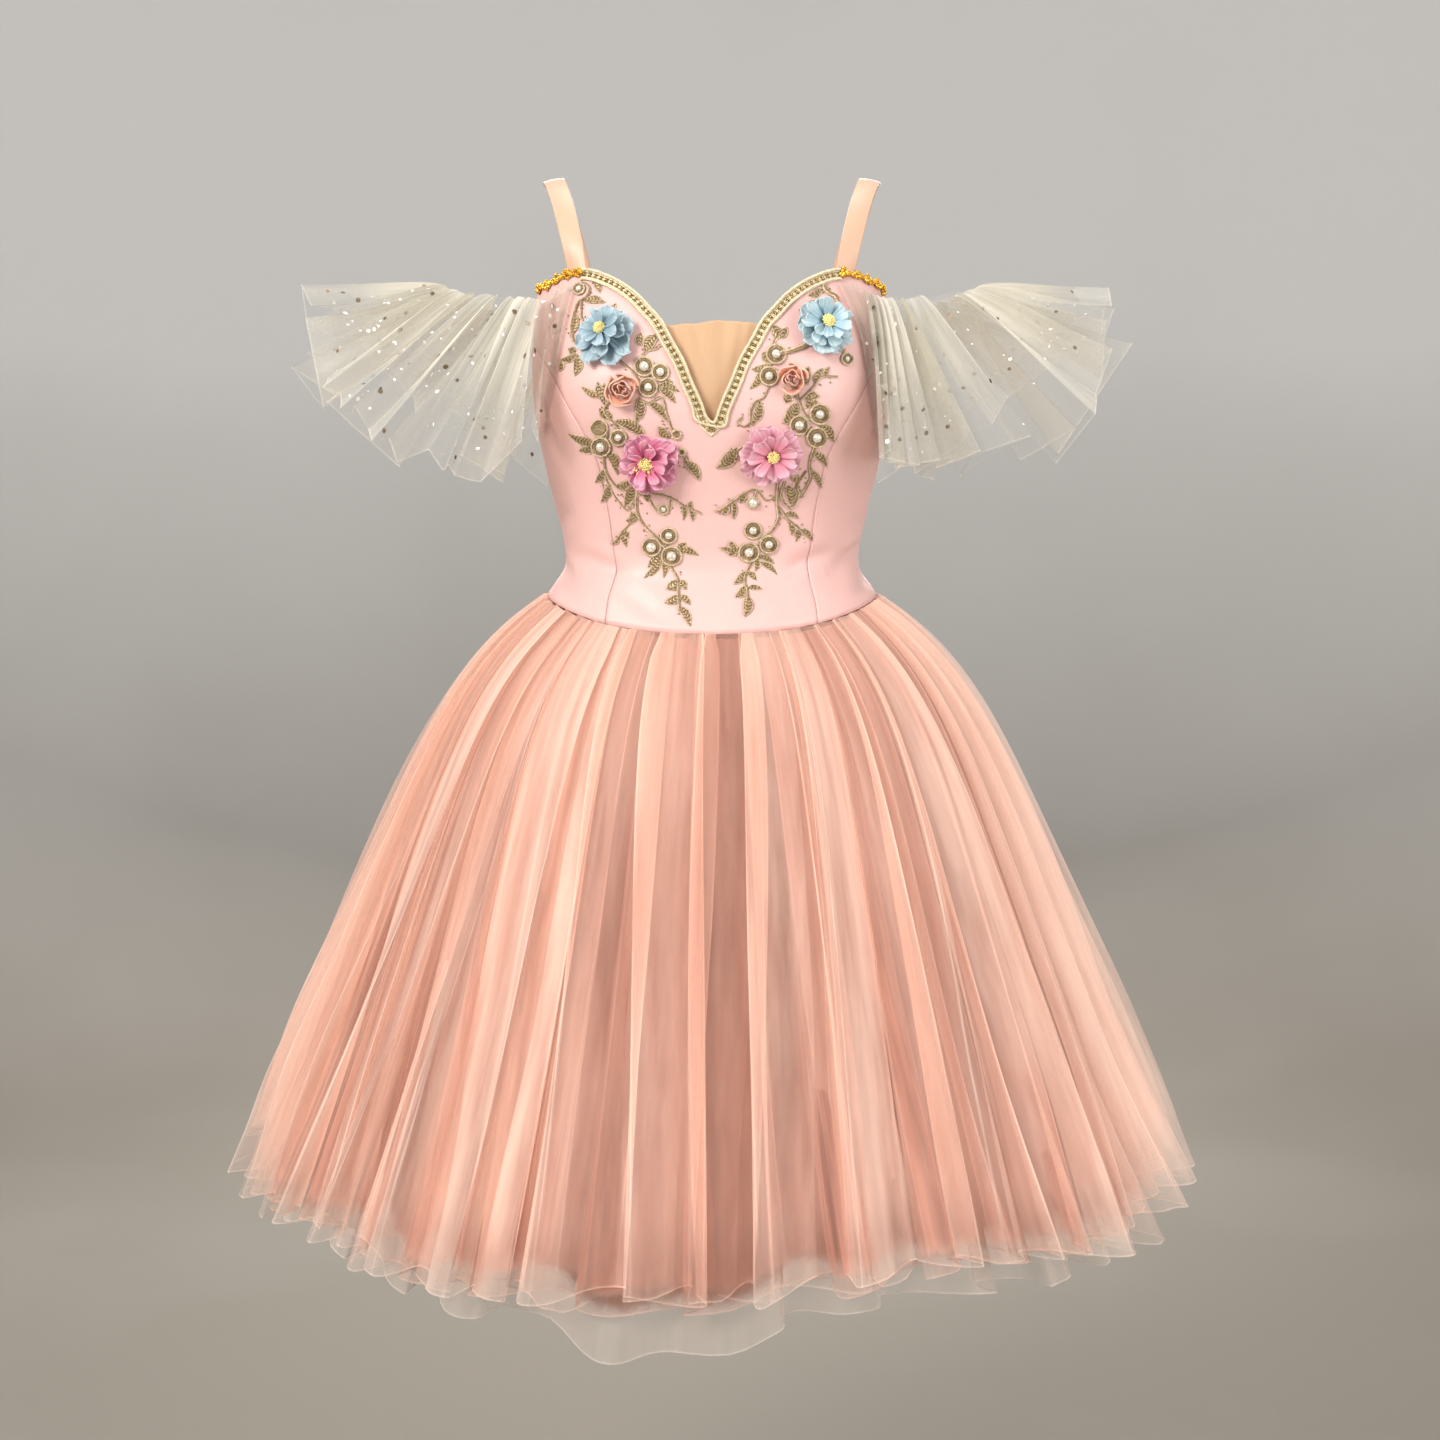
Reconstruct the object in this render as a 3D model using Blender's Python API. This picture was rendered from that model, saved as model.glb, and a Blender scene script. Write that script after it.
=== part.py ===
"""Ballet tutu of romantic length, as worn: satin bodice, net insert, off-shoulder net sleeves, gathered net skirt.

+X is the wearer's left, -Y the front, +Z up. The origin is midway between the straps, where they cross the shoulders.
"""

import math
from collections import namedtuple

import bpy
from mathutils import Vector
from mathutils.bvhtree import BVHTree
from mathutils.geometry import delaunay_2d_cdt

# Driving sizes, in metres and degrees.
SEAM_GAP = 0.0003
ON_PANEL = 0.0014  # clearance of what is sewn on top of a panel
BEHIND_PANEL = 0.0016
SATIN_WALL = 0.0018
NET_WALL = 0.0012
BRAID_WALL = 0.0022
TRIM_WALL = 0.0035
APPLIQUE_WALL = 0.0012
ROUNDNESS = 2 / 2.35  # 1 would make each body section an ellipse, less makes it squarer

# The hollow form that the bodice is cut to, from the shoulders down to the hips.
Section = namedtuple("Section", "height half_width front back")
BODY = (
    Section(-0.380, 0.152, 0.117, 0.116),
    Section(-0.350, 0.141, 0.107, 0.105),
    Section(-0.323, 0.129, 0.096, 0.093),
    Section(-0.298, 0.114, 0.087, 0.083),
    Section(-0.263, 0.119, 0.092, 0.083),
    Section(-0.224, 0.129, 0.102, 0.087),
    Section(-0.181, 0.137, 0.110, 0.092),
    Section(-0.150, 0.139, 0.109, 0.095),
    Section(-0.110, 0.140, 0.101, 0.095),
    Section(-0.075, 0.142, 0.086, 0.093),
    Section(-0.040, 0.146, 0.074, 0.087),
)
Cup = namedtuple("Cup", "turn height fullness turn_spread height_spread")
CUP = Cup(turn=34.0, height=-0.158, fullness=0.011, turn_spread=15.0, height_spread=0.034)

# The top edge of the bodice, from the centre front (turn 0) to the centre back (turn 180).
Edge = namedtuple("Edge", "turn height")
TOP_EDGE = (
    Edge(0, -0.190),
    Edge(2, -0.171),
    Edge(4, -0.157),
    Edge(6, -0.142),
    Edge(9, -0.127),
    Edge(12, -0.1125),
    Edge(15, -0.104),
    Edge(19, -0.0935),
    Edge(25, -0.083),
    Edge(33, -0.0750),
    Edge(40, -0.0725),
    Edge(49, -0.0750),
    Edge(58, -0.0800),
    Edge(67, -0.0860),
    Edge(72, -0.1030),
    Edge(78, -0.1230),
    Edge(84, -0.1400),
    Edge(90, -0.1500),
    Edge(105, -0.1560),
    Edge(140, -0.1630),
    Edge(180, -0.1660),
)
APEX_TURN = 40  # where the strap meets the front
TRIM_END_TURN = 67

# The princess seams of the front, from the waist seam up to the armhole.
FRONT_SEAM = (
    Edge(32.5, None),
    Edge(35.0, -0.310),
    Edge(37.0, -0.285),
    Edge(36.5, -0.250),
    Edge(37.0, -0.212),
    Edge(44.5, -0.177),
    Edge(55.0, -0.152),
    Edge(78.0, None),
)
SIDE_TURN = 90
BACK_SEAM_TURN = 141
BACK_TURN = 180

# The waist seam, where the skirt is sewn on below the natural waist.
SEAM_SIDE_HEIGHT = -0.3228
SEAM_FRONT_DIP = 0.0238
SEAM_BACK_DIP = 0.0120

PLACKET_WIDTH = 0.022
BRAID_WIDTH = 0.0085
BRAID_POINT = 0.0125
TRIM_WIDTH = 0.0065
STRAP_WIDTH = 0.0165

INSERT_TOP = -0.1125
INSERT_BOTTOM = -0.199
INSERT_TUCK = 0.007

COLOURS = {
    "satin": ((0.90, 0.63, 0.62), 0.38, 0.0),
    "nude_net": ((0.72, 0.46, 0.26), 0.70, 0.0),
    "strap_ribbon": ((0.88, 0.62, 0.45), 0.45, 0.0),
    "gold_braid": ((0.62, 0.49, 0.22), 0.35, 0.6),
    "gold_beads": ((0.70, 0.40, 0.04), 0.25, 0.8),
    "ivory_net": ((0.78, 0.74, 0.64), 0.70, 0.0),
    "peach_net": ((0.84, 0.45, 0.34), 0.75, 0.0),
    "gold_thread": ((0.36, 0.25, 0.12), 0.50, 0.4),
    "blue_petals": ((0.33, 0.56, 0.72), 0.75, 0.0),
    "coral_petals": ((0.86, 0.33, 0.22), 0.75, 0.0),
    "pink_petals": ((0.84, 0.25, 0.46), 0.75, 0.0),
}


def clear_scene():
    for obj in list(bpy.data.objects):
        bpy.data.objects.remove(obj)


def material(slot):
    """The slot's plain material, made once."""
    found = bpy.data.materials.get(slot)
    if found:
        return found
    colour, roughness, metallic = COLOURS[slot]
    made = bpy.data.materials.new(slot)
    made.use_nodes = True
    shader = made.node_tree.nodes["Principled BSDF"]
    shader.inputs["Base Color"].default_value = (*colour, 1.0)
    shader.inputs["Roughness"].default_value = roughness
    shader.inputs["Metallic"].default_value = metallic
    made.diffuse_color = (*colour, 1.0)
    return made


def new_object(name, points, faces, slot, parent):
    mesh = bpy.data.meshes.new(name)
    mesh.from_pydata([tuple(p) for p in points], [], faces)
    mesh.update()
    mesh.shade_smooth()
    mesh.set_sharp_from_angle(angle=math.radians(40))
    mesh.materials.append(material(slot))
    obj = bpy.data.objects.new(name, mesh)
    bpy.context.scene.collection.objects.link(obj)
    obj.parent = parent
    return obj


def new_group(name):
    group = bpy.data.objects.new(name, None)
    bpy.context.scene.collection.objects.link(group)
    return group


# ---- tables and curves


def smooth(keys, values, at):
    """A smooth curve through the values, at a place along the rising keys."""
    last = len(keys) - 1
    if at <= keys[0]:
        return values[0]
    if at >= keys[last]:
        return values[last]
    i = max(n for n in range(last) if keys[n] <= at)
    span = keys[i + 1] - keys[i]

    def slope(n):
        low, high = max(n - 1, 0), min(n + 1, last)
        return (values[high] - values[low]) / (keys[high] - keys[low])

    t = (at - keys[i]) / span
    return (
        values[i] * (1 + 2 * t) * (1 - t) ** 2
        + slope(i) * span * t * (1 - t) ** 2
        + values[i + 1] * t * t * (3 - 2 * t)
        + slope(i + 1) * span * t * t * (t - 1)
    )


def column(rows, name):
    return [getattr(row, name) for row in rows]


def from_table(rows, key, name, at):
    return smooth(column(rows, key), column(rows, name), at)


def top_height(turn):
    """The bodice's top edge. Turns run from 0 at the front to 180 at the back, on either side."""
    return from_table(TOP_EDGE, "turn", "height", abs(turn))


def seam_height(turn):
    """The waist seam, which dips at the front and a little at the back."""
    facing = math.cos(math.radians(turn))
    dip = SEAM_FRONT_DIP if facing > 0 else SEAM_BACK_DIP
    return SEAM_SIDE_HEIGHT - dip * facing * facing


def front_seam(share):
    """(turn, height) on a princess seam, from the waist seam (share 0) to the armhole (share 1)."""
    rows = list(FRONT_SEAM)
    rows[0] = Edge(rows[0].turn, seam_height(rows[0].turn))
    rows[-1] = Edge(rows[-1].turn, top_height(rows[-1].turn))
    steps = list(range(len(rows)))
    at = share * steps[-1]
    return smooth(steps, column(rows, "turn"), at), smooth(steps, column(rows, "height"), at)


# ---- the body form


def signed_power(value, power):
    return math.copysign(abs(value) ** power, value)


def form_point(turn, height):
    a = math.radians(turn)
    side, facing = math.sin(a), math.cos(a)
    depth = from_table(BODY, "height", "front" if facing > 0 else "back", height)
    x = from_table(BODY, "height", "half_width", height) * signed_power(side, ROUNDNESS)
    y = -depth * signed_power(facing, ROUNDNESS)
    off_turn = (abs(turn) - CUP.turn) / CUP.turn_spread
    off_height = (height - CUP.height) / CUP.height_spread
    cup = CUP.fullness * math.exp(-(off_turn**2 + off_height**2) / 2)
    return Vector((x + cup * side, y - cup * facing, height))


def form_normal(turn, height):
    around = form_point(turn + 1.0, height) - form_point(turn - 1.0, height)
    up = form_point(turn, height + 0.002) - form_point(turn, height - 0.002)
    return around.cross(up).normalized()


def on_body(turn, height, lift=0.0):
    """A point on the form, moved out by lift."""
    return form_point(turn, height) + form_normal(turn, height) * lift


def turn_at(x, height):
    """The turn at which the form's front is x from the middle, at that height."""
    low, high = 0.0, 89.0
    for _ in range(30):
        middle = (low + high) / 2
        if form_point(middle, height).x < abs(x):
            low = middle
        else:
            high = middle
    return math.copysign(low, x)


def on_front(x, height, lift=0.0):
    return on_body(turn_at(x, height), height, lift)


def split(points, quad):
    """Two triangles, along the quad's shorter diagonal."""
    a, b, c, d = quad
    if (points[a] - points[c]).length > (points[b] - points[d]).length:
        return [[b, c, d], [b, d, a]]
    return [[a, b, c], [a, c, d]]


class Panels:
    """The outer faces of the panels made so far, for what lies on them."""

    def __init__(self):
        self.points, self.faces, self.tree = [], [], None

    def add(self, grid):
        first, cols = len(self.points), len(grid[0])
        self.points += [p for row in grid for p in row]
        for r in range(len(grid) - 1):
            for c in range(cols - 1):
                a = first + r * cols + c
                self.faces += split(self.points, [a, a + 1, a + cols + 1, a + cols])
        self.tree = BVHTree.FromPolygons(self.points, self.faces)

    def on_turn(self, turn, height, lift):
        normal = form_normal(turn, height)
        start = on_body(turn, height, 0.03)
        hit = self.tree.ray_cast(start, -normal, 0.05)[0]
        if hit is None:
            hit = on_body(turn, height, SATIN_WALL)
        return hit + normal * lift

    def on_x(self, x, height, lift):
        return self.on_turn(turn_at(x, height), height, lift)


PANELS = Panels()


# ---- walls


def grid_wall(name, inner, outer, slot, parent):
    """A closed wall between two grids of points that match. Rows run up, columns turn from the front to +X."""
    rows, cols = len(inner), len(inner[0])
    outer_points = [p for row in outer for p in row]
    points = [p for row in inner for p in row] + outer_points
    far = rows * cols

    def at(row, col):
        return row * cols + col

    faces = []
    for r in range(rows - 1):
        for c in range(cols - 1):
            # Both sides are split along the same diagonal, so that the wall stays even.
            quad = [at(r, c), at(r, c + 1), at(r + 1, c + 1), at(r + 1, c)]
            for face in split(outer_points, quad):
                faces.append([far + i for i in face])
                faces.append(face[::-1])
    rim = [at(0, c) for c in range(cols)] + [at(r, cols - 1) for r in range(1, rows)]
    rim += [at(rows - 1, c) for c in range(cols - 2, -1, -1)] + [at(r, 0) for r in range(rows - 2, 0, -1)]
    for a, b in zip(rim, rim[1:] + rim[:1]):
        faces.append([a, b, far + b, far + a])
    return new_object(name, points, faces, slot, parent)


def pull_in(grid, gap):
    """Moves a grid's outer columns in by a gap, so that neighbours don't touch."""
    for row in grid:
        first, last = (row[1] - row[0]).normalized(), (row[-2] - row[-1]).normalized()
        row[0] = row[0] + first * gap
        row[-1] = row[-1] + last * gap


def body_panel(name, places, wall, slot, parent, lift=0.0, gap=SEAM_GAP / 2):
    """A panel through a grid of (turn, height) places on the form."""
    inner = [[on_body(turn, height, lift) for turn, height in row] for row in places]
    outer = [[on_body(turn, height, lift + wall) for turn, height in row] for row in places]
    pull_in(inner, gap)
    pull_in(outer, gap)
    PANELS.add(outer)
    return grid_wall(name, inner, outer, slot, parent)


def row_share(row, rows):
    return 1 - (1 - row / (rows - 1)) ** ROW_SPREAD


def patch(bottom, top, left, right, across, rows):
    """A grid of places that fits four edges: across lists the columns' shares, rows is the number of rows."""
    grid = []
    for r in range(rows):
        v = row_share(r, rows)
        line = []
        for u in across:
            place = []
            for k in (0, 1):
                up = (1 - v) * bottom(u)[k] + v * top(u)[k]
                side = (1 - u) * left(v)[k] + u * right(v)[k]
                corners = (1 - v) * ((1 - u) * bottom(0)[k] + u * bottom(1)[k])
                corners += v * ((1 - u) * top(0)[k] + u * top(1)[k])
                place.append(up + side - corners)
            line.append(tuple(place))
        grid.append(line)
    return grid


def sheet(name, rows, thickness, slot, parent, wraps=False):
    """A cloth wall from rows of points, thickened outwards. Rows run down, columns turn from the front to +X."""
    count = len(rows[0])
    faces = []
    for r in range(len(rows) - 1):
        for c in range(count if wraps else count - 1):
            a, b = r * count + c, r * count + (c + 1) % count
            faces.append([a, a + count, b + count, b])
    obj = new_object(name, [p for row in rows for p in row], faces, slot, parent)
    wall = obj.modifiers.new("wall", "SOLIDIFY")
    wall.thickness = thickness
    wall.offset = 1.0
    wall.use_even_offset = True
    return obj


# ---- bodice

PANEL_ROWS = 8
ROW_SPREAD = 1.3  # over 1 sets the rows closer together towards the top edge


def front_centre(parent):
    """The centre front, between the princess seams, with the V neck cut into it."""
    end = FRONT_SEAM[-1].turn
    start = FRONT_SEAM[0].turn
    turns = [row.turn for row in TOP_EDGE if row.turn <= end]
    shares = sorted({0.5 + side * turn / end / 2 for turn in turns for side in (-1, 1)})

    def bottom(u):
        turn = (2 * u - 1) * start
        return turn, seam_height(turn)

    def top(u):
        turn = (2 * u - 1) * end
        return turn, top_height(turn)

    def left(v):
        turn, height = front_seam(v)
        return -turn, height

    places = patch(bottom, top, left, front_seam, shares, PANEL_ROWS)
    body_panel("bodice_front_centre", places, SATIN_WALL, "satin", parent)


def side_panels(parent):
    """Side front, side back and back panels, on both sides."""

    def upright(turn):
        return lambda v: (turn, seam_height(turn) + v * (top_height(turn) - seam_height(turn)))

    cuts = (
        ("front_side", front_seam, upright(SIDE_TURN), 6),
        ("back_side", upright(SIDE_TURN), upright(BACK_SEAM_TURN), 6),
        ("back", upright(BACK_SEAM_TURN), upright(BACK_TURN), 5),
    )
    for name, near, far, columns in cuts:

        def bottom(u, near=near, far=far):
            turn = near(0)[0] + u * (far(0)[0] - near(0)[0])
            return turn, seam_height(turn)

        def top(u, near=near, far=far):
            turn = near(1)[0] + u * (far(1)[0] - near(1)[0])
            return turn, top_height(turn)

        shares = [c / (columns - 1) for c in range(columns)]
        places = patch(bottom, top, near, far, shares, PANEL_ROWS)
        body_panel(f"bodice_{name}_left", places, SATIN_WALL, "satin", parent)
        mirrored = [[(-turn, height) for turn, height in reversed(row)] for row in places]
        body_panel(f"bodice_{name}_right", mirrored, SATIN_WALL, "satin", parent)


def back_placket(parent):
    """The strip that laps over the centre back opening and covers its hooks."""
    half_turn = math.degrees(PLACKET_WIDTH / 2 / BODY[3].back) * 0.75
    low, high = seam_height(BACK_TURN), top_height(BACK_TURN)
    places = []
    for r in range(PANEL_ROWS):
        height = low + (high - low) * row_share(r, PANEL_ROWS)
        places.append([(BACK_TURN + s * half_turn, height) for s in (-1, 0, 1)])
    body_panel("back_placket", places, SATIN_WALL, "satin", parent, lift=SATIN_WALL + SEAM_GAP)


def edge_line(first, last, steps):
    """Points (x, height) along the front's top edge, between two turns."""
    line = []
    for i in range(steps + 1):
        turn = first + (last - first) * i / steps
        height = top_height(turn)
        line.append((form_point(turn, height).x, height))
    return line


def band_on_front(name, line, width, wall, lift, slot, parent):
    """A band that lies on the panels, below a line of (x, height) points."""
    edges = []
    for i, (x, height) in enumerate(line):
        before, after = line[max(i - 1, 0)], line[min(i + 1, len(line) - 1)]
        across = Vector((after[1] - before[1], before[0] - after[0])).normalized()
        edges.append((x + across.x * width(i), height + across.y * width(i)))
    inner = [[PANELS.on_x(x, h, lift) for x, h in row] for row in (edges, line)]
    outer = [[PANELS.on_x(x, h, lift + wall) for x, h in row] for row in (edges, line)]
    return grid_wall(name, inner, outer, slot, parent)


def neck_braid(parent):
    steps = 11
    right_half = edge_line(0, APEX_TURN - 1, 2 * steps)
    line = [(-x, h) for x, h in reversed(right_half[1:])] + right_half
    middle = len(line) // 2

    def width(i):
        return BRAID_POINT if i == middle else BRAID_WIDTH

    band_on_front("neck_braid", line, width, BRAID_WALL, ON_PANEL, "gold_braid", parent)


def bead_trims(parent):
    """Gold bead edging, from the strap out to the armhole."""
    for side, name in ((1, "left"), (-1, "right")):
        line = edge_line(APEX_TURN, TRIM_END_TURN, 9)
        if side < 0:
            line = [(-x, h) for x, h in reversed(line)]
        band_on_front(f"bead_trim_{name}", line, lambda i: TRIM_WIDTH, TRIM_WALL, ON_PANEL, "gold_beads", parent)


def neck_insert(parent):
    """The net insert behind the V, tucked under the bodice on both sides."""
    edge_turns = [row.turn for row in TOP_EDGE if row.turn < APEX_TURN and row.height <= INSERT_TOP + 0.001]
    edges = [(top_height(t), form_point(t, top_height(t)).x) for t in edge_turns]
    heights, halves = [h for h, _ in edges], [x for _, x in edges]
    rows = 8
    inner, outer = [], []
    for r in range(rows):
        height = INSERT_BOTTOM + (INSERT_TOP - INSERT_BOTTOM) * r / (rows - 1)
        half = smooth(heights, halves, height) + INSERT_TUCK
        across = [half * (c / 3 - 1) for c in range(7)]
        inner.append([on_front(x, height, -BEHIND_PANEL - NET_WALL) for x in across])
        outer.append([on_front(x, height, -BEHIND_PANEL) for x in across])
    grid_wall("neck_insert", inner, outer, "nude_net", parent)


# ---- straps

# Both ends are tucked inside the bodice. Between them the strap goes up and over the shoulder.
Tuck = namedtuple("Tuck", "turn height")
STRAP_FRONT = (Tuck(42.5, -0.0900), Tuck(42.5, -0.0740))
STRAP_BACK = (Tuck(142.5, -0.1640), Tuck(142.5, -0.1800))
StrapPoint = namedtuple("StrapPoint", "x y z across_y across_z")
STRAP = (
    StrapPoint(0.1055, -0.0590, -0.0520, 0.30, -0.08),
    StrapPoint(0.1130, -0.0440, -0.0240, 0.16, -0.14),
    StrapPoint(0.1200, -0.0220, -0.0060, 0.05, -0.18),
    StrapPoint(0.1235, 0.0000, -0.0014, 0.00, -0.19),
    StrapPoint(0.1210, 0.0240, -0.0070, -0.06, -0.18),
    StrapPoint(0.1150, 0.0460, -0.0280, -0.16, -0.14),
    StrapPoint(0.1060, 0.0630, -0.0620, -0.28, -0.08),
    StrapPoint(0.0970, 0.0710, -0.1100, -0.36, -0.03),
)


def tuck_row(tuck):
    """The strap's two edges where it lies against the inside of the bodice."""
    middle = form_point(tuck.turn, tuck.height)
    around = (form_point(tuck.turn + 1, tuck.height) - middle).normalized()
    if tuck.turn > SIDE_TURN:
        around = -around
    inwards = form_normal(tuck.turn, tuck.height) * -(NET_WALL + BEHIND_PANEL)
    return [middle - around * STRAP_WIDTH / 2 + inwards, middle + around * STRAP_WIDTH / 2 + inwards]


def straps(parent):
    rows = [tuck_row(tuck) for tuck in STRAP_FRONT]
    for p in STRAP:
        centre = Vector((p.x, p.y, p.z))
        edge = Vector((1.0, p.across_y, p.across_z)).normalized() * STRAP_WIDTH / 2
        rows.append([centre - edge, centre + edge])
    rows += [tuck_row(tuck) for tuck in STRAP_BACK]
    rows.reverse()
    sheet("strap_left", rows, NET_WALL, "strap_ribbon", parent)
    sheet("strap_right", mirrored(rows), NET_WALL, "strap_ribbon", parent)


# ---- sleeves

# The gathered head of a sleeve runs from the front of the bodice round the upper arm to the back.
SleeveRow = namedtuple("SleeveRow", "along x y z fall_x fall_y fall_z length")
SLEEVE = (
    SleeveRow(0.00, 0.1140, -0.0710, -0.0875, 0.10, -0.34, -0.93, 0.134),
    SleeveRow(0.12, 0.1290, -0.0610, -0.0930, 0.22, -0.44, -0.87, 0.136),
    SleeveRow(0.24, 0.1460, -0.0545, -0.0930, 0.36, -0.54, -0.76, 0.134),
    SleeveRow(0.36, 0.1720, -0.0480, -0.0905, 0.59, -0.48, -0.65, 0.145),
    SleeveRow(0.46, 0.1970, -0.0300, -0.0875, 0.82, -0.40, -0.42, 0.129),
    SleeveRow(0.54, 0.2060, -0.0040, -0.0845, 0.99, 0.00, -0.04, 0.108),
    SleeveRow(0.64, 0.1980, 0.0280, -0.0865, 0.82, 0.54, -0.10, 0.116),
    SleeveRow(0.76, 0.1740, 0.0540, -0.0940, 0.52, 0.72, -0.42, 0.128),
    SleeveRow(0.88, 0.1480, 0.0680, -0.1080, 0.32, 0.66, -0.68, 0.130),
    SleeveRow(1.00, 0.1210, 0.0740, -0.1320, 0.16, 0.48, -0.86, 0.122),
)
Frill = namedtuple("Frill", "flutes start end inset spread wave growth reach rows")
SLEEVE_OVER = Frill(13, 0.00, 1.00, 0.0000, 0.000, 0.0009, 0.0100, 1.00, 3)
SLEEVE_UNDER = Frill(11, 0.15, 0.93, 0.0042, 0.021, 0.0009, 0.0080, 1.06, 3)
POINTS_PER_FLUTE = 4


def sleeve_head(along):
    return Vector([from_table(SLEEVE, "along", axis, along) for axis in "xyz"])


def sleeve_fall(along):
    return Vector([from_table(SLEEVE, "along", f"fall_{axis}", along) for axis in "xyz"]).normalized()


def sleeve_normal(along):
    """Away from the arm, square to the head and to the fall."""
    around = sleeve_head(min(along + 0.01, 1.0)) - sleeve_head(max(along - 0.01, 0.0))
    return around.cross(-sleeve_fall(along)).normalized()


def uneven(share, count):
    """Spreads flutes or folds unevenly: 0 stays 0 and 1 stays 1."""
    turn = 2 * math.pi * share
    return share + (math.sin(2 * turn) * 0.9 + math.sin(3 * turn) * 0.6) / (2 * math.pi * count)


def frill_rows(frill):
    count = frill.flutes * POINTS_PER_FLUTE
    rows = []
    for r in range(frill.rows):
        down = r / (frill.rows - 1)
        row = []
        for i in range(count + 1):
            share = uneven(i / count, frill.flutes)
            along = frill.start + (frill.end - frill.start) * share
            wave = math.cos(2 * math.pi * i / POINTS_PER_FLUTE)
            out = wave * (frill.wave + frill.growth * down) - frill.inset - frill.spread * down
            length = from_table(SLEEVE, "along", "length", along) * frill.reach
            row.append(sleeve_head(along) + sleeve_fall(along) * length * down + sleeve_normal(along) * out)
        rows.append(row)
    return rows


def mirrored(rows):
    return [[Vector((-p.x, p.y, p.z)) for p in reversed(row)] for row in rows]


def sleeves(parent):
    """Two net frills on each side, gathered to one line round the upper arm."""
    for name, frill in (("over", SLEEVE_OVER), ("under", SLEEVE_UNDER)):
        rows = frill_rows(frill)
        sheet(f"sleeve_left_{name}", rows, NET_WALL, "ivory_net", parent)
        sheet(f"sleeve_right_{name}", mirrored(rows), NET_WALL, "ivory_net", parent)


# ---- skirt

FLARE_SLOPE = 0.450
FLARE_SWELL = 0.056
FLARE_SWELL_DROP = 0.045
SKIRT_DEPTH = 0.92  # front to back, as a share of side to side
POINTS_PER_FOLD = 4
FOLD_DRIFT = ((3, 0.035, 0.7), (7, 0.016, 2.1), (11, 0.008, 4.0))  # waves round, size in radians, phase
HEM_DRIFT = ((3, 0.005, 1.3), (5, 0.004, 0.2), (9, 0.003, 3.0))  # waves round, size in metres, phase
# The hem stands side_rise above its mean height at the sides, and as far below it at the front and back.
Layer = namedtuple("Layer", "name folds lower hem side_rise inset inset_hem wave wave_hem shift")
LAYERS = (
    Layer("skirt_over", 40, 0.0000, -0.777, 0.0115, 0.0000, 0.012, 0.0010, 0.0120, 0.0),
    Layer("skirt_middle", 32, 0.0040, -0.787, 0.0120, 0.0040, 0.036, 0.0010, 0.0090, 0.5),
    Layer("skirt_under", 26, 0.0080, -0.804, 0.0160, 0.0080, 0.056, 0.0010, 0.0080, 1.1),
)
DROPS = (0.0, 0.05, 0.19, 1.0)  # the rings' places, as shares of the length


def flare(drop):
    """How far the skirt stands out past the waist seam."""
    return FLARE_SLOPE * drop + FLARE_SWELL * (1 - math.exp(-drop / FLARE_SWELL_DROP))


def skirt_ring(layer, share):
    count = layer.folds * POINTS_PER_FOLD
    ring = []
    for i in range(count):
        base = 2 * math.pi * i / count + layer.shift / layer.folds
        angle = base + sum(size * math.sin(waves * base + phase) for waves, size, phase in FOLD_DRIFT)
        turn = math.degrees(angle)
        signed_turn = (turn + 180) % 360 - 180
        top = seam_height(signed_turn) - SEAM_GAP - 1.6 * NET_WALL - layer.lower
        hem = layer.hem - layer.side_rise * math.cos(2 * angle)
        hem += sum(size * math.sin(waves * base + phase) for waves, size, phase in HEM_DRIFT)
        drop = (top - hem) * share
        seam = form_point(signed_turn, top)
        wave = layer.wave + (layer.wave_hem - layer.wave) * share
        inset = layer.inset + (layer.inset_hem - layer.inset) * share
        out = flare(drop) - inset + wave * math.cos(2 * math.pi * i / POINTS_PER_FOLD)
        outward = Vector((math.sin(angle), -math.cos(angle) * SKIRT_DEPTH, 0))
        ring.append(Vector((seam.x, seam.y, top - drop)) + outward * out)
    return ring


def skirt(parent):
    for layer in LAYERS:
        rings = [skirt_ring(layer, share) for share in DROPS]
        sheet(layer.name, rings, NET_WALL, "peach_net", parent, wraps=True)


# ---- appliqué

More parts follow.
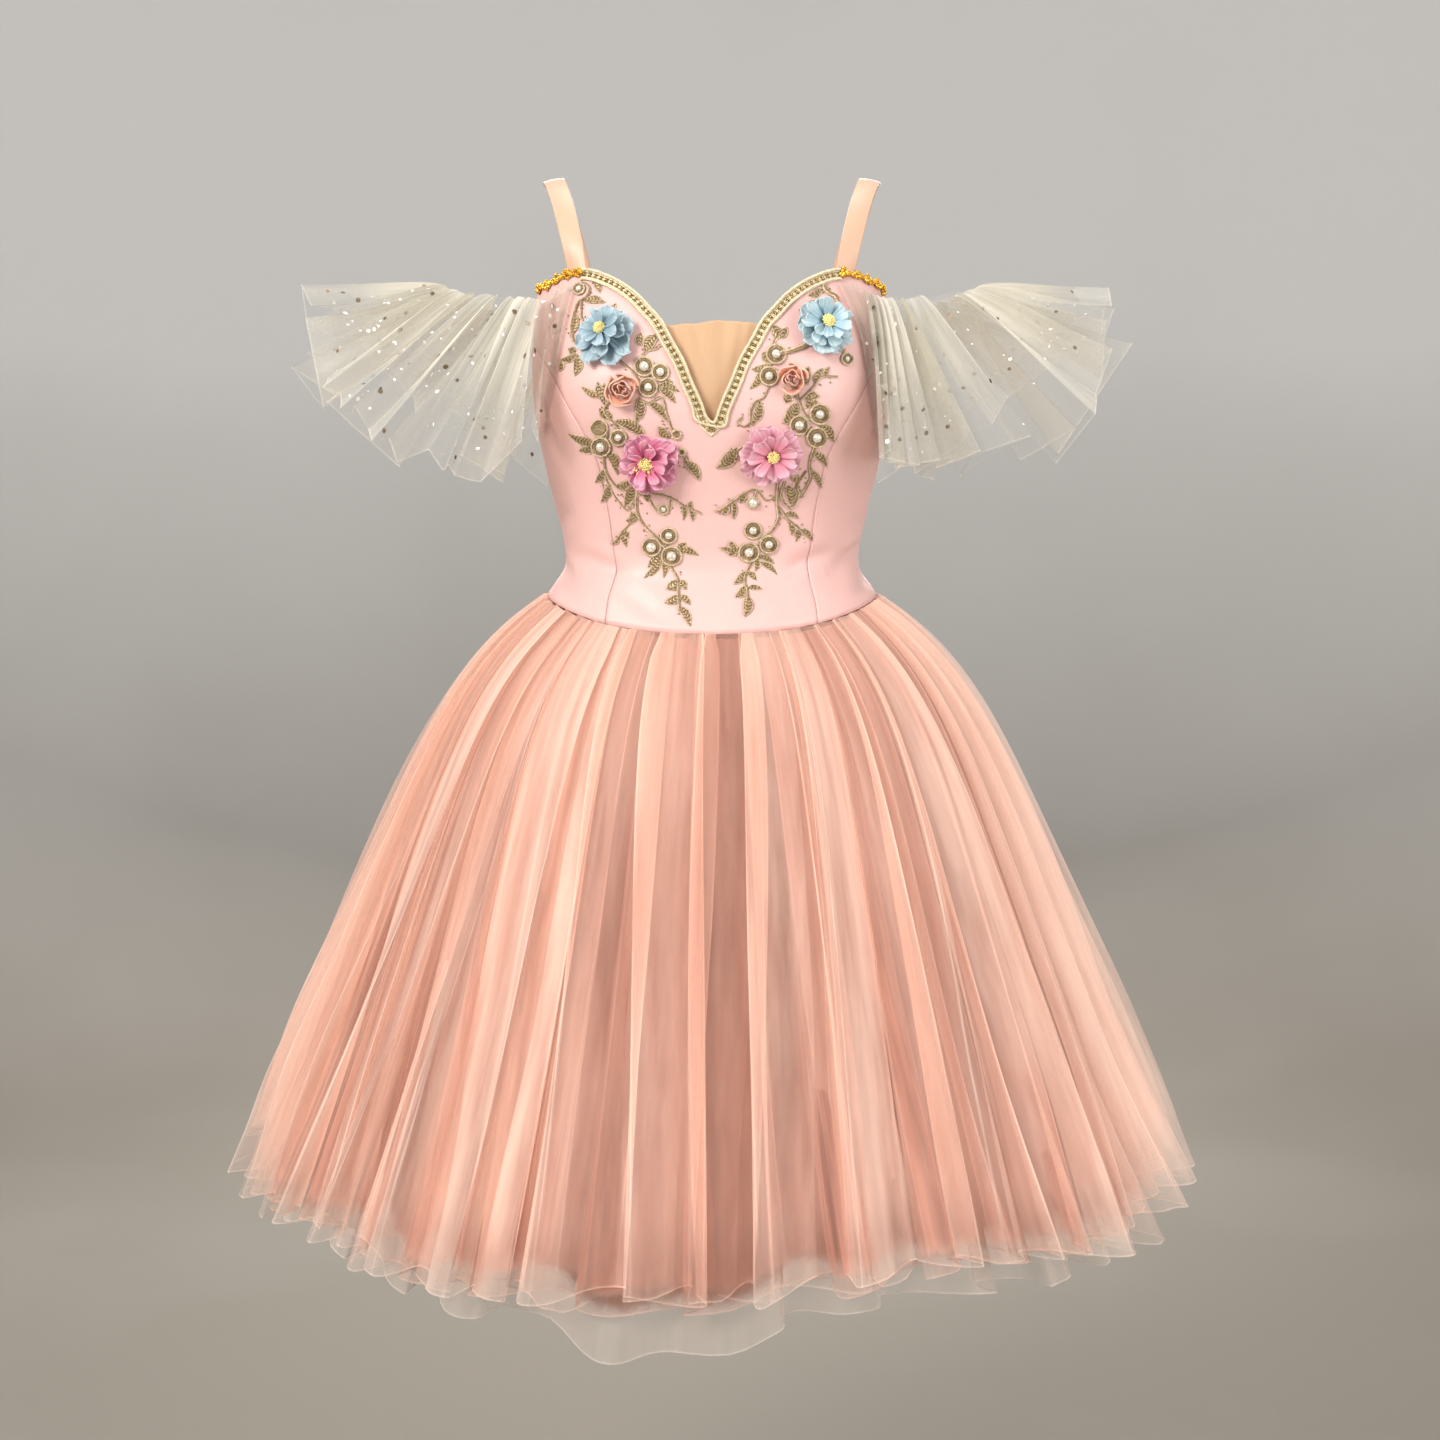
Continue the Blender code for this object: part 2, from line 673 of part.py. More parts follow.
# Corded motifs, laid out flat as seen from the front: x from the middle and height, in millimetres.
Cord = namedtuple("Cord", "width points")
Leaf = namedtuple("Leaf", "x height tip_x tip_height width")
Cup = namedtuple("Cup", "x height radius bead_radius")
Motif = namedtuple("Motif", "cords leaves cups")
MOTIF_RIGHT = Motif(
    cords=(
        Cord(
            2.4,
            (
                (-102, -90), (-100, -85), (-95, -84), (-91, -88), (-93, -94),
                (-100, -99), (-103, -117), (-102, -127), (-91, -135),
            ),
        ),
        Cord(2.3, ((-97, -97), (-95, -113), (-82, -128), (-68, -142), (-59, -150), (-52, -159))),
        Cord(2.4, ((-53, -140), (-50, -147), (-38, -151))),
        Cord(2.3, ((-50, -147), (-47, -162), (-45, -173))),
        Cord(2.3, ((-51, -142), (-47, -135), (-41, -133))),
        Cord(2.1, ((-45, -173), (-38, -170), (-34, -179), (-29, -193), (-26, -198))),
        Cord(2.4, ((-58, -152), (-65, -162), (-75, -171), (-77, -180), (-69, -198))),
        Cord(2.3, ((-84, -191), (-76, -196), (-82, -205))),
        Cord(2.3, ((-69, -198), (-76, -196))),
        Cord(2.4, ((-81, -205), (-80, -217), (-77, -228), (-69, -237), (-58, -232))),
        Cord(2.1, ((-78, -228), (-74, -240), (-64, -253), (-59, -248), (-55, -238))),
        Cord(2.7, ((-45, -216), (-54, -231), (-56, -246), (-53, -259), (-42, -273), (-30, -289))),
        Cord(2.1, ((-53, -256), (-65, -268), (-74, -280))),
        Cord(2.3, ((-45, -281), (-37, -280), (-32, -272))),
        Cord(2.1, ((-56, -241), (-45, -240), (-31, -243), (-20, -250), (-8, -255))),
        Cord(2.1, ((-46, -240), (-41, -251), (-32, -252), (-30, -244))),
        Cord(2.3, ((-33, -291), (-26, -307), (-25, -319), (-24, -329))),
        Cord(2.1, ((-45, -216), (-32, -212), (-20, -212), (-15, -221))),
    ),
    leaves=(
        Leaf(-94, -97, -79, -99, 5),
        Leaf(-98, -131, -106, -132, 5),
        Leaf(-97, -134, -102, -153, 6),
        Leaf(-98, -133, -113, -141, 5),
        Leaf(-82, -127, -71, -100, 6),
        Leaf(-48, -136, -43, -127, 6),
        Leaf(-42, -162, -25, -165, 5),
        Leaf(-43, -163, -28, -173, 5),
        Leaf(-46, -173, -33, -187, 5),
        Leaf(-28, -196, -39, -191, 6),
        Leaf(-75, -171, -84, -158, 5),
        Leaf(-76, -173, -95, -161, 4),
        Leaf(-76, -180, -84, -176, 6),
        Leaf(-65, -164, -56, -187, 7),
        Leaf(-74, -186, -49, -199, 7),
        Leaf(-81, -204, -107, -195, 6),
        Leaf(-82, -204, -99, -209, 6),
        Leaf(-79, -207, -70, -226, 7),
        Leaf(-80, -223, -87, -232, 5),
        Leaf(-76, -234, -83, -247, 5),
        Leaf(-59, -234, -65, -250, 7),
        Leaf(-61, -233, -71, -234, 5),
        Leaf(-56, -258, -65, -261, 5),
        Leaf(-64, -268, -62, -275, 5),
        Leaf(-66, -269, -64, -281, 4),
        Leaf(-50, -240, -48, -248, 6),
        Leaf(-21, -249, -21, -260, 4),
        Leaf(-16, -251, -14, -262, 4),
        Leaf(-27, -284, -10, -287, 6),
        Leaf(-42, -284, -48, -297, 6),
        Leaf(-36, -287, -50, -306, 5),
        Leaf(-33, -291, -36, -305, 5),
        Leaf(-26, -308, -34, -315, 6),
        Leaf(-25, -308, -19, -315, 5),
        Leaf(-25, -319, -35, -324, 5),
        Leaf(-24, -319, -16, -325, 5),
        Leaf(-24, -327, -16, -341, 6),
        Leaf(-18, -217, -9, -230, 7),
    ),
    cups=(
        Cup(-99, -88, 4.5, 2.7),
        Cup(-50, -147, 7.3, 4.2),
        Cup(-38, -151, 6.5, 3.6),
        Cup(-47, -162, 7.0, 3.6),
        Cup(-83, -191, 6.5, 0.0),
        Cup(-69, -198, 6.2, 3.3),
        Cup(-82, -205, 7.4, 4.2),
        Cup(-32, -272, 6.2, 3.3),
        Cup(-45, -281, 7.3, 4.4),
        Cup(-30, -288, 7.9, 4.4),
        Cup(-26, -196, 3.5, 0.0),
        Cup(-36, -252, 3.9, 2.4),
    ),
)

MOTIF_LEFT = Motif(
    cords=(
        Cord(
            3.5,
            (
                (84, -87), (88, -92), (93, -95), (92, -107),
                (86, -117), (75, -127), (58, -135), (48, -138),
            ),
        ),
        Cord(2.3, ((48, -138), (44, -146), (44, -154), (60, -157))),
        Cord(2.3, ((46, -136), (47, -128), (52, -124))),
        Cord(2.1, ((44, -159), (39, -169), (32, -173), (29, -186), (24, -190), (20, -186))),
        Cord(2.4, ((60, -157), (64, -168), (68, -177), (72, -184), (78, -182))),
        Cord(2.4, ((72, -184), (65, -189), (72, -193), (78, -198))),
        Cord(2.1, ((67, -172), (76, -162), (82, -155), (93, -154))),
        Cord(2.3, ((87, -116), (95, -131), (100, -141))),
        Cord(2.4, ((78, -201), (75, -211), (73, -229), (65, -243))),
        Cord(2.3, ((51, -234), (53, -244), (58, -250), (65, -244), (64, -234), (73, -223))),
        Cord(2.7, ((44, -210), (50, -228), (50, -258), (38, -274), (28, -285))),
        Cord(2.1, ((50, -251), (58, -261), (76, -276))),
        Cord(2.3, ((31, -268), (37, -275), (43, -279))),
        Cord(2.1, ((50, -240), (41, -245), (34, -237), (21, -241), (9, -251), (3, -254))),
        Cord(2.1, ((34, -237), (31, -247))),
        Cord(2.3, ((30, -290), (25, -301), (27, -314), (27, -322))),
        Cord(2.1, ((44, -210), (29, -204), (20, -208), (15, -212))),
    ),
    leaves=(
        Leaf(85, -88, 72, -95, 5),
        Leaf(54, -125, 50, -119, 7),
        Leaf(47, -140, 38, -136, 5),
        Leaf(43, -146, 30, -149, 5),
        Leaf(41, -151, 29, -163, 5),
        Leaf(34, -173, 30, -189, 6),
        Leaf(75, -162, 72, -147, 6),
        Leaf(77, -160, 82, -148, 4),
        Leaf(70, -168, 80, -168, 5),
        Leaf(66, -170, 70, -177, 5),
        Leaf(65, -172, 53, -188, 8),
        Leaf(80, -190, 91, -201, 6),
        Leaf(76, -210, 86, -220, 5),
        Leaf(74, -223, 82, -236, 5),
        Leaf(53, -235, 59, -248, 7),
        Leaf(54, -256, 65, -259, 5),
        Leaf(59, -262, 60, -272, 5),
        Leaf(65, -267, 64, -277, 5),
        Leaf(24, -240, 21, -247, 4),
        Leaf(12, -249, 8, -256, 4),
        Leaf(17, -244, 16, -259, 4),
        Leaf(23, -283, 6, -281, 5),
        Leaf(22, -284, 14, -276, 5),
        Leaf(22, -285, 13, -288, 4),
        Leaf(33, -287, 47, -294, 5),
        Leaf(33, -287, 49, -303, 5),
        Leaf(30, -290, 34, -300, 5),
        Leaf(25, -301, 17, -310, 6),
        Leaf(26, -301, 34, -308, 5),
        Leaf(26, -312, 18, -320, 5),
        Leaf(27, -313, 38, -314, 5),
        Leaf(27, -320, 24, -334, 6),
        Leaf(17, -210, 4, -221, 8),
    ),
    cups=(
        Cup(100, -141, 4.5, 2.6),
        Cup(48, -138, 7.4, 3.9),
        Cup(44, -154, 7.1, 3.6),
        Cup(80, -181, 7.6, 3.8),
        Cup(65, -189, 7.1, 4.2),
        Cup(78, -198, 7.7, 4.1),
        Cup(31, -247, 4.5, 3.8),
        Cup(31, -268, 6.7, 3.5),
        Cup(43, -279, 7.1, 3.5),
        Cup(28, -285, 7.9, 4.1),
    ),
)

MM = 0.001
BEAD_RINGS = ((1.00, 0.00), (0.70, 0.72))  # a bead's rings, as shares of its radius out and up
BEAD_POINTS = 6
CUP_POINTS = 8
LEAF_ROOT = 2.0  # how far a leaf reaches back under its stem
MERGE = 0.25
KNOT = 0.9


def circle(x, y, radius, count):
    turns = [2 * math.pi * i / count for i in range(count)]
    return [(x + radius * math.cos(a), y + radius * math.sin(a)) for a in turns]


def cord_quads(cord):
    """One quad for each stretch of the cord, with mitred joints."""
    sides = []
    for i, (x, y) in enumerate(cord.points):
        before, after = cord.points[max(i - 1, 0)], cord.points[min(i + 1, len(cord.points) - 1)]
        along = Vector((after[0] - before[0], after[1] - before[1])).normalized() * cord.width / 2
        sides.append(((x - along.y, y + along.x), (x + along.y, y - along.x)))
    return [(a[0], b[0], b[1], a[1]) for a, b in zip(sides, sides[1:])]


def leaf_outline(leaf):
    along = Vector((leaf.tip_x - leaf.x, leaf.tip_height - leaf.height))
    across = Vector((-along.y, along.x)).normalized() * leaf.width / 2
    base = Vector((leaf.x, leaf.height))
    root, middle = base - along.normalized() * LEAF_ROOT, base + along * 0.55
    return [tuple(root), tuple(middle - across), tuple(base + along), tuple(middle + across)]


def anticlockwise(outline):
    doubled_area = sum(a[0] * b[1] - a[1] * b[0] for a, b in zip(outline, outline[1:] + outline[:1]))
    return outline if doubled_area > 0 else outline[::-1]


def inside_rim(points, rim, place):
    crossings = 0
    for a, b in rim:
        p, q = points[a], points[b]
        if (p.y > place.y) != (q.y > place.y) and place.x < p.x + (place.y - p.y) / (q.y - p.y) * (q.x - p.x):
            crossings += 1
    return crossings % 2 == 1


def joined_rim(outlines):
    """The points and edges round the area that the outlines cover together."""
    flat, loops = [], []
    for outline in outlines:
        loops.append(list(range(len(flat), len(flat) + len(outline))))
        flat += [Vector(p) for p in anticlockwise(outline)]
    flat, _, triangles, _, _, covers = delaunay_2d_cdt(flat, [], loops, 0, MERGE)
    covered = [face for face, cover in zip(triangles, covers) if cover]
    edges = {(face[i], face[(i + 1) % 3]) for face in covered for i in range(3)}
    rim = sorted((a, b) for a, b in edges if (b, a) not in edges)
    used = sorted({i for edge in rim for i in edge})
    place = {old: new for new, old in enumerate(used)}
    return [flat[i] for i in used], [(place[a], place[b]) for a, b in rim]


def pinched(points, rim):
    """Where the rim meets itself, as outlines that only touch there."""
    ends = [i for edge in rim for i in edge]
    return [points[i] for i in set(ends) if ends.count(i) > 2]


def filled(rim_points, rim, rings):
    """Triangles over the area inside the rim, with the points of the rings added."""
    points, edges = list(rim_points), list(rim)
    for ring in rings:
        first, count = len(points), len(ring)
        points += [Vector(p) for p in ring]
        edges += [(first + i, first + (i + 1) % count) for i in range(count) if count > 1]
    flat, _, triangles, origins, _, _ = delaunay_2d_cdt(points, edges, [], 0, 0.001)
    index = [found[0] for found in origins]
    kept = []
    for face in triangles:
        middle = sum((flat[i] for i in face), Vector((0, 0))) / 3
        if inside_rim(rim_points, rim, middle):
            kept.append([index[i] for i in face])
    return points, kept


def applique(name, motif, parent):
    """One raised motif: the flat outlines joined, then given thickness on the panels."""
    outlines = [quad for cord in motif.cords for quad in cord_quads(cord)]
    outlines += [leaf_outline(leaf) for leaf in motif.leaves]
    outlines += [circle(cup.x, cup.height, cup.radius, CUP_POINTS) for cup in motif.cups]
    rim_points, rim = joined_rim(outlines)
    while pinched(rim_points, rim):
        outlines += [circle(p.x, p.y, KNOT, 6) for p in pinched(rim_points, rim)]
        rim_points, rim = joined_rim(outlines)
    rings, rises = [], [0.0] * len(rim_points)
    for cup in motif.cups:
        if cup.bead_radius:
            for reach, rise in BEAD_RINGS:
                rings.append(circle(cup.x, cup.height, cup.bead_radius * reach, BEAD_POINTS))
                rises += [rise * cup.bead_radius] * BEAD_POINTS
            rings.append([(cup.x, cup.height)])
            rises.append(cup.bead_radius)
    top_points, top_faces = filled(rim_points, rim, rings)
    count = len(rim_points)
    bottom_faces = filled(rim_points, rim, [])[1]
    points = [PANELS.on_x(p.x * MM, p.y * MM, ON_PANEL) for p in rim_points]
    for p, rise in zip(top_points, rises):
        lift = ON_PANEL + APPLIQUE_WALL + rise * MM
        points.append(PANELS.on_x(p.x * MM, p.y * MM, lift))
    # Seen from the front the triangles run anticlockwise, so the outer faces keep their order.
    faces = [[count + i for i in face] for face in top_faces]
    faces += [list(reversed(face)) for face in bottom_faces]
    faces += [[a, b, count + b, count + a] for a, b in rim]
    return new_object(name, points, faces, "gold_thread", parent)


# ---- flowers

Flower = namedtuple("Flower", "name x height radius petals depth rim slot")
FLOWERS = (
    Flower("flower_blue_right", -0.0760, -0.1265, 0.0235, 9, 0.24, 0.0085, "blue_petals"),
    Flower("flower_blue_left", 0.0820, -0.1195, 0.0235, 9, 0.24, 0.0085, "blue_petals"),
    Flower("flower_coral_right", -0.0645, -0.1640, 0.0130, 5, 0.14, 0.0090, "coral_petals"),
    Flower("flower_coral_left", 0.0590, -0.1570, 0.0125, 5, 0.14, 0.0090, "coral_petals"),
    Flower("flower_pink_right", -0.0445, -0.2160, 0.0235, 8, 0.24, 0.0090, "pink_petals"),
    Flower("flower_pink_left", 0.0430, -0.2095, 0.0240, 8, 0.24, 0.0090, "pink_petals"),
)
# A petal's section from the middle out and back under, as shares of the radius and of the rim's height.
PETAL_SECTION = ((0.14, 1.05), (0.22, 0.72), (0.62, 0.80), (1.00, 1.00), (0.92, 0.78), (0.30, 0.05))
POINTS_PER_PETAL = 3
FLOWER_LIFT = SATIN_WALL + ON_PANEL + APPLIQUE_WALL + 2 * SEAM_GAP


def flower(spec, parent):
    """A flower with cupped petals round a button, standing on the bodice. Its origin is under its middle."""
    count = spec.petals * POINTS_PER_PETAL
    points = [Vector((0, 0, spec.rim * 1.20))]
    for r, (reach, rise) in enumerate(PETAL_SECTION):
        for i in range(count):
            a = 2 * math.pi * i / count
            notch = spec.depth * reach * (1 - abs(math.sin(a * spec.petals / 2))) if r in (2, 3, 4) else 0
            radius = spec.radius * (reach - notch)
            points.append(Vector((radius * math.cos(a), radius * math.sin(a), spec.rim * rise)))
    points.append(Vector((0, 0, 0)))
    last = len(points) - 1
    faces = []
    for i in range(count):
        j = (i + 1) % count
        faces.append([0, 1 + i, 1 + j])
        for r in range(len(PETAL_SECTION) - 1):
            a, b = 1 + r * count, 1 + (r + 1) * count
            faces.append([a + i, b + i, b + j, a + j])
        bottom = 1 + (len(PETAL_SECTION) - 1) * count
        faces.append([bottom + j, bottom + i, last])
    obj = new_object(spec.name, points, faces, spec.slot, parent)
    turn = turn_at(spec.x, spec.height)
    obj.location = on_body(turn, spec.height, FLOWER_LIFT)
    obj.rotation_mode = "QUATERNION"
    obj.rotation_quaternion = form_normal(turn, spec.height).to_track_quat("Z", "Y")
    return obj


def main():
    clear_scene()
    tutu = new_group("tutu")
    front_centre(tutu)
    side_panels(tutu)
    back_placket(tutu)
    neck_braid(tutu)
    bead_trims(tutu)
    neck_insert(tutu)
    straps(tutu)
    sleeves(tutu)
    skirt(tutu)
    applique("applique_right", MOTIF_RIGHT, tutu)
    applique("applique_left", MOTIF_LEFT, tutu)
    for spec in FLOWERS:
        flower(spec, tutu)


main()
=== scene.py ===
import math

import bpy
import numpy as np
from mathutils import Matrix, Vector


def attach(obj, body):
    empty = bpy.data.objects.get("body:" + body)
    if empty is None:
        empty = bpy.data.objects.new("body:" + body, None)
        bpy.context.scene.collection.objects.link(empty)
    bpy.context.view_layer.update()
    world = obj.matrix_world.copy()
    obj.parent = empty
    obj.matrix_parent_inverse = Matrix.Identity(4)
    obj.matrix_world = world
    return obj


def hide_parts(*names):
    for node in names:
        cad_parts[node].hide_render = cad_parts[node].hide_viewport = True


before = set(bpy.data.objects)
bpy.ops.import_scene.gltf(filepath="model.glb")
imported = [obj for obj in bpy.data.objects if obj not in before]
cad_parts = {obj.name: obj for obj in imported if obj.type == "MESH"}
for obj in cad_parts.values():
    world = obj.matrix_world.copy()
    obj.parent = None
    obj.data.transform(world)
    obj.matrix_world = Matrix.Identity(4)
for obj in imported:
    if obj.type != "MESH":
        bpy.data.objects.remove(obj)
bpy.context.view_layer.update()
print("frame loaded")

# Sizes shared with the solids, in metres and degrees
seamGap = 0.0003
satinWall = 0.0018
netWall = 0.0012
roundness = 2 / 2.35
bodyForm = {
    "height": (-0.380, -0.350, -0.323, -0.298, -0.263, -0.224, -0.181, -0.150, -0.110, -0.075, -0.040),
    "halfWidth": (0.152, 0.141, 0.129, 0.114, 0.119, 0.129, 0.137, 0.139, 0.140, 0.142, 0.146),
    "front": (0.117, 0.107, 0.096, 0.087, 0.092, 0.102, 0.110, 0.109, 0.101, 0.086, 0.074),
    "back": (0.116, 0.105, 0.093, 0.083, 0.083, 0.087, 0.092, 0.095, 0.095, 0.093, 0.087),
}
cup = {"turn": 34.0, "height": -0.158, "fullness": 0.011, "turnSpread": 15.0, "heightSpread": 0.034}
topEdge = {
    "turn": (0, 2, 4, 6, 9, 12, 15, 19, 25, 33, 40, 49, 58, 67, 72, 78, 84, 90, 105, 140, 180),
    "height": (
        -0.190, -0.171, -0.157, -0.142, -0.127, -0.1125, -0.104, -0.0935, -0.083, -0.0750, -0.0725,
        -0.0750, -0.0800, -0.0860, -0.1030, -0.1230, -0.1400, -0.1500, -0.1560, -0.1630, -0.1660,
    ),
}
apexTurn = 40
trimEndTurn = 67
sideTurn = 90
backSeamTurn = 141
waistSeam = {"sideHeight": -0.3228, "frontDip": 0.0238, "backDip": 0.0120}


# Curves and the body form, on whole arrays at once

def smoothCurve(keys, values, at):
    keys, values, at = np.asarray(keys, float), np.asarray(values, float), np.asarray(at, float)
    i = np.clip(np.searchsorted(keys, at, side="right") - 1, 0, len(keys) - 2)
    places = np.arange(len(keys))
    low, high = np.maximum(places - 1, 0), np.minimum(places + 1, len(keys) - 1)
    slopes = (values[high] - values[low]) / (keys[high] - keys[low])
    span = keys[i + 1] - keys[i]
    t = np.clip((at - keys[i]) / span, 0, 1)
    return (
        values[i] * (1 + 2 * t) * (1 - t) ** 2
        + slopes[i] * span * t * (1 - t) ** 2
        + values[i + 1] * t * t * (3 - 2 * t)
        + slopes[i + 1] * span * t * t * (t - 1)
    )


def smoothStep(low, high, at):
    t = np.clip((at - low) / (high - low), 0, 1)
    return t * t * (3 - 2 * t)


def topHeight(turn):
    return smoothCurve(topEdge["turn"], topEdge["height"], np.abs(turn))


def seamHeight(turn):
    facing = np.cos(np.radians(turn))
    dip = np.where(facing > 0, waistSeam["frontDip"], waistSeam["backDip"])
    return waistSeam["sideHeight"] - dip * facing * facing


def signedPower(value, power):
    return np.sign(value) * np.abs(value) ** power


def formPoint(turn, height):
    turn, height = np.broadcast_arrays(np.asarray(turn, float), np.asarray(height, float))
    side, facing = np.sin(np.radians(turn)), np.cos(np.radians(turn))
    front = smoothCurve(bodyForm["height"], bodyForm["front"], height)
    back = smoothCurve(bodyForm["height"], bodyForm["back"], height)
    depth = np.where(facing > 0, front, back)
    x = smoothCurve(bodyForm["height"], bodyForm["halfWidth"], height) * signedPower(side, roundness)
    y = -depth * signedPower(facing, roundness)
    offTurn = (np.abs((turn + 180) % 360 - 180) - cup["turn"]) / cup["turnSpread"]
    offHeight = (height - cup["height"]) / cup["heightSpread"]
    fullness = cup["fullness"] * np.exp(-(offTurn**2 + offHeight**2) / 2)
    return np.stack([x + fullness * side, y - fullness * facing, height], axis=-1)


def unit(vectors):
    return vectors / np.maximum(np.linalg.norm(vectors, axis=-1, keepdims=True), 1e-9)


def formNormal(turn, height):
    turn, height = np.asarray(turn, float), np.asarray(height, float)
    around = formPoint(turn + 1, height) - formPoint(turn - 1, height)
    up = formPoint(turn, height + 0.002) - formPoint(turn, height - 0.002)
    return unit(np.cross(around, up))


def onBody(turn, height, lift=0.0):
    return formPoint(turn, height) + formNormal(turn, height) * np.asarray(lift, float)[..., None]


def turnAt(x, height):
    # The turn at which the form's front is x from the middle
    x, height = np.broadcast_arrays(np.asarray(x, float), np.asarray(height, float))
    low, high = np.zeros(x.shape), np.full(x.shape, 89.0)
    for _ in range(26):
        middle = (low + high) / 2
        under = formPoint(middle, height)[..., 0] < np.abs(x)
        low, high = np.where(under, middle, low), np.where(under, high, middle)
    return np.sign(x) * low


def onFront(x, height, lift=0.0):
    return onBody(turnAt(x, height), height, lift)


def frontNormal(x, height):
    return formNormal(turnAt(x, height), height)


def valueNoise(seed, cells, at, wraps=False):
    # Smooth random values from -1 to 1 over a grid of cells; at holds one array of places for each axis
    table = np.random.default_rng(seed).uniform(-1, 1, cells)
    result, corners = 0, []
    for axis, place in enumerate(at):
        base = np.floor(place).astype(int)
        t = smoothStep(0, 1, place - base)
        last = cells[axis] - 1
        ends = [i % (last + 1) if wraps and axis == 0 else np.clip(i, 0, last) for i in (base, base + 1)]
        corners.append(((ends[0], 1 - t), (ends[1], t)))
    for i, wi in corners[0]:
        for j, wj in corners[1]:
            result = result + table[i, j] * wi * wj
    return result


def catmullRom(near, here, there, far, t):
    bend = (2 * near - 5 * here + 4 * there - far) * t**2 + (3 * here - near - 3 * there + far) * t**3
    return 0.5 * (2 * here + (there - near) * t + bend)


def smoothPath(points, step=None, count=0):
    # A Catmull-Rom curve through the points, sampled about every step, or count times between each two
    points = np.asarray(points, float)
    padded = np.concatenate([[2 * points[0] - points[1]], points, [2 * points[-1] - points[-2]]])
    line = []
    for i in range(len(points) - 1):
        steps = count or max(int(np.linalg.norm(padded[i + 2] - padded[i + 1]) / step), 1)
        line.append(catmullRom(*padded[i:i + 4], (np.arange(steps) / steps)[:, None]))
    return np.concatenate(line + [points[-1:]])


def lengthAlong(line):
    return np.concatenate([[0], np.cumsum(np.linalg.norm(np.diff(line, axis=0), axis=1))])


def pathFrame(path, normals):
    # Normals square to the path, and the third direction
    along = unit(np.gradient(path, axis=0))
    normals = unit(normals - along * np.sum(normals * along, axis=1, keepdims=True))
    return normals, np.cross(along, normals)


# Meshes

def makeMesh(name, points, faces, uv=None, smooth=True):
    mesh = bpy.data.meshes.new(name)
    faces = np.asarray(faces)
    corners = faces.shape[1]
    mesh.vertices.add(len(points))
    mesh.vertices.foreach_set("co", np.asarray(points, np.float32).ravel())
    mesh.loops.add(faces.size)
    mesh.loops.foreach_set("vertex_index", faces.astype(np.int32).ravel())
    mesh.polygons.add(len(faces))
    mesh.polygons.foreach_set("loop_start", np.arange(0, faces.size, corners, dtype=np.int32))
    mesh.update(calc_edges=True)
    if uv is not None:
        layer = mesh.uv_layers.new(name="cloth")
        layer.data.foreach_set("uv", np.asarray(uv, np.float32)[faces.ravel()].ravel())
    mesh.polygons.foreach_set("use_smooth", np.full(len(faces), smooth))
    mesh.validate()
    return mesh


def addObject(name, data):
    made = bpy.data.objects.new(name, data)
    bpy.context.scene.collection.objects.link(made)
    return made


def addPiece(name, mesh, material, replaces=()):
    piece = addObject(name, mesh)
    mesh.materials.append(material)
    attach(piece, "root")
    if replaces:
        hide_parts(*replaces)
    return piece


def addWall(piece, thickness, offset=-1.0):
    wall = piece.modifiers.new("wall", "SOLIDIFY")
    wall.thickness, wall.offset = thickness, offset


def gridFaces(rows, columns, wraps=False, flip=False):
    # Quads over a grid of points kept row by row
    r, c = np.meshgrid(np.arange(rows - 1), np.arange(columns if wraps else columns - 1), indexing="ij")
    a, b = r * columns + c, r * columns + (c + 1) % columns
    quads = np.stack([a, b, b + columns, a + columns], axis=-1).reshape(-1, 4)
    return quads[:, ::-1] if flip else quads


def gridPiece(name, points, uv, material, slot, replaces, thickness=0.0, **faces):
    # A piece from a grid of points, with a wall under it when it has a thickness
    mesh = makeMesh(name, points.reshape(-1, 3), gridFaces(*points.shape[:2], **faces), uv.reshape(-1, 2))
    piece = addPiece(name, mesh, material, replaces)
    if thickness:
        addWall(piece, thickness)
    return piece


class Bundle:
    # Many small shapes gathered into one mesh
    def __init__(self):
        self.points, self.faces, self.uv, self.count = [], [], [], 0

    def add(self, points, faces, uv=None):
        points = np.asarray(points, float).reshape(-1, 3)
        self.points.append(points)
        self.faces.append(np.asarray(faces) + self.count)
        self.uv.append(np.zeros((len(points), 2)) if uv is None else np.asarray(uv, float).reshape(-1, 2))
        self.count += len(points)

    def piece(self, name, material, slot, replaces=()):
        points, faces, uv = (np.concatenate(rows) for rows in (self.points, self.faces, self.uv))
        return addPiece(name, makeMesh(name, points, faces, uv), material, replaces)


def tubeShape(path, normals, radius, sides=6):
    # A tube along path; normals point away from what it lies on
    normals, across = pathFrame(path, normals)
    angles = np.arange(sides) * 2 * math.pi / sides
    radius = np.broadcast_to(np.asarray(radius, float), (len(path),))[:, None, None]
    ring = across[:, None] * np.cos(angles)[None, :, None] + normals[:, None] * np.sin(angles)[None, :, None]
    points = path[:, None] + ring * radius
    uv = np.stack(np.broadcast_arrays(angles[None] / 2 / math.pi, lengthAlong(path)[:, None]), axis=-1)
    return points, gridFaces(len(path), sides, wraps=True), uv


def twistedCord(bundle, path, normals, radius, twist, sides=5):
    # Two strands wound round each other, each a thin tube
    normals, across = pathFrame(path, normals)
    for start in (0, math.pi):
        a = lengthAlong(path) / twist * 2 * math.pi + start
        offset = across * np.cos(a)[:, None] + normals * np.sin(a)[:, None]
        bundle.add(*tubeShape(path + offset * radius * 0.48, normals, radius * 0.58, sides))


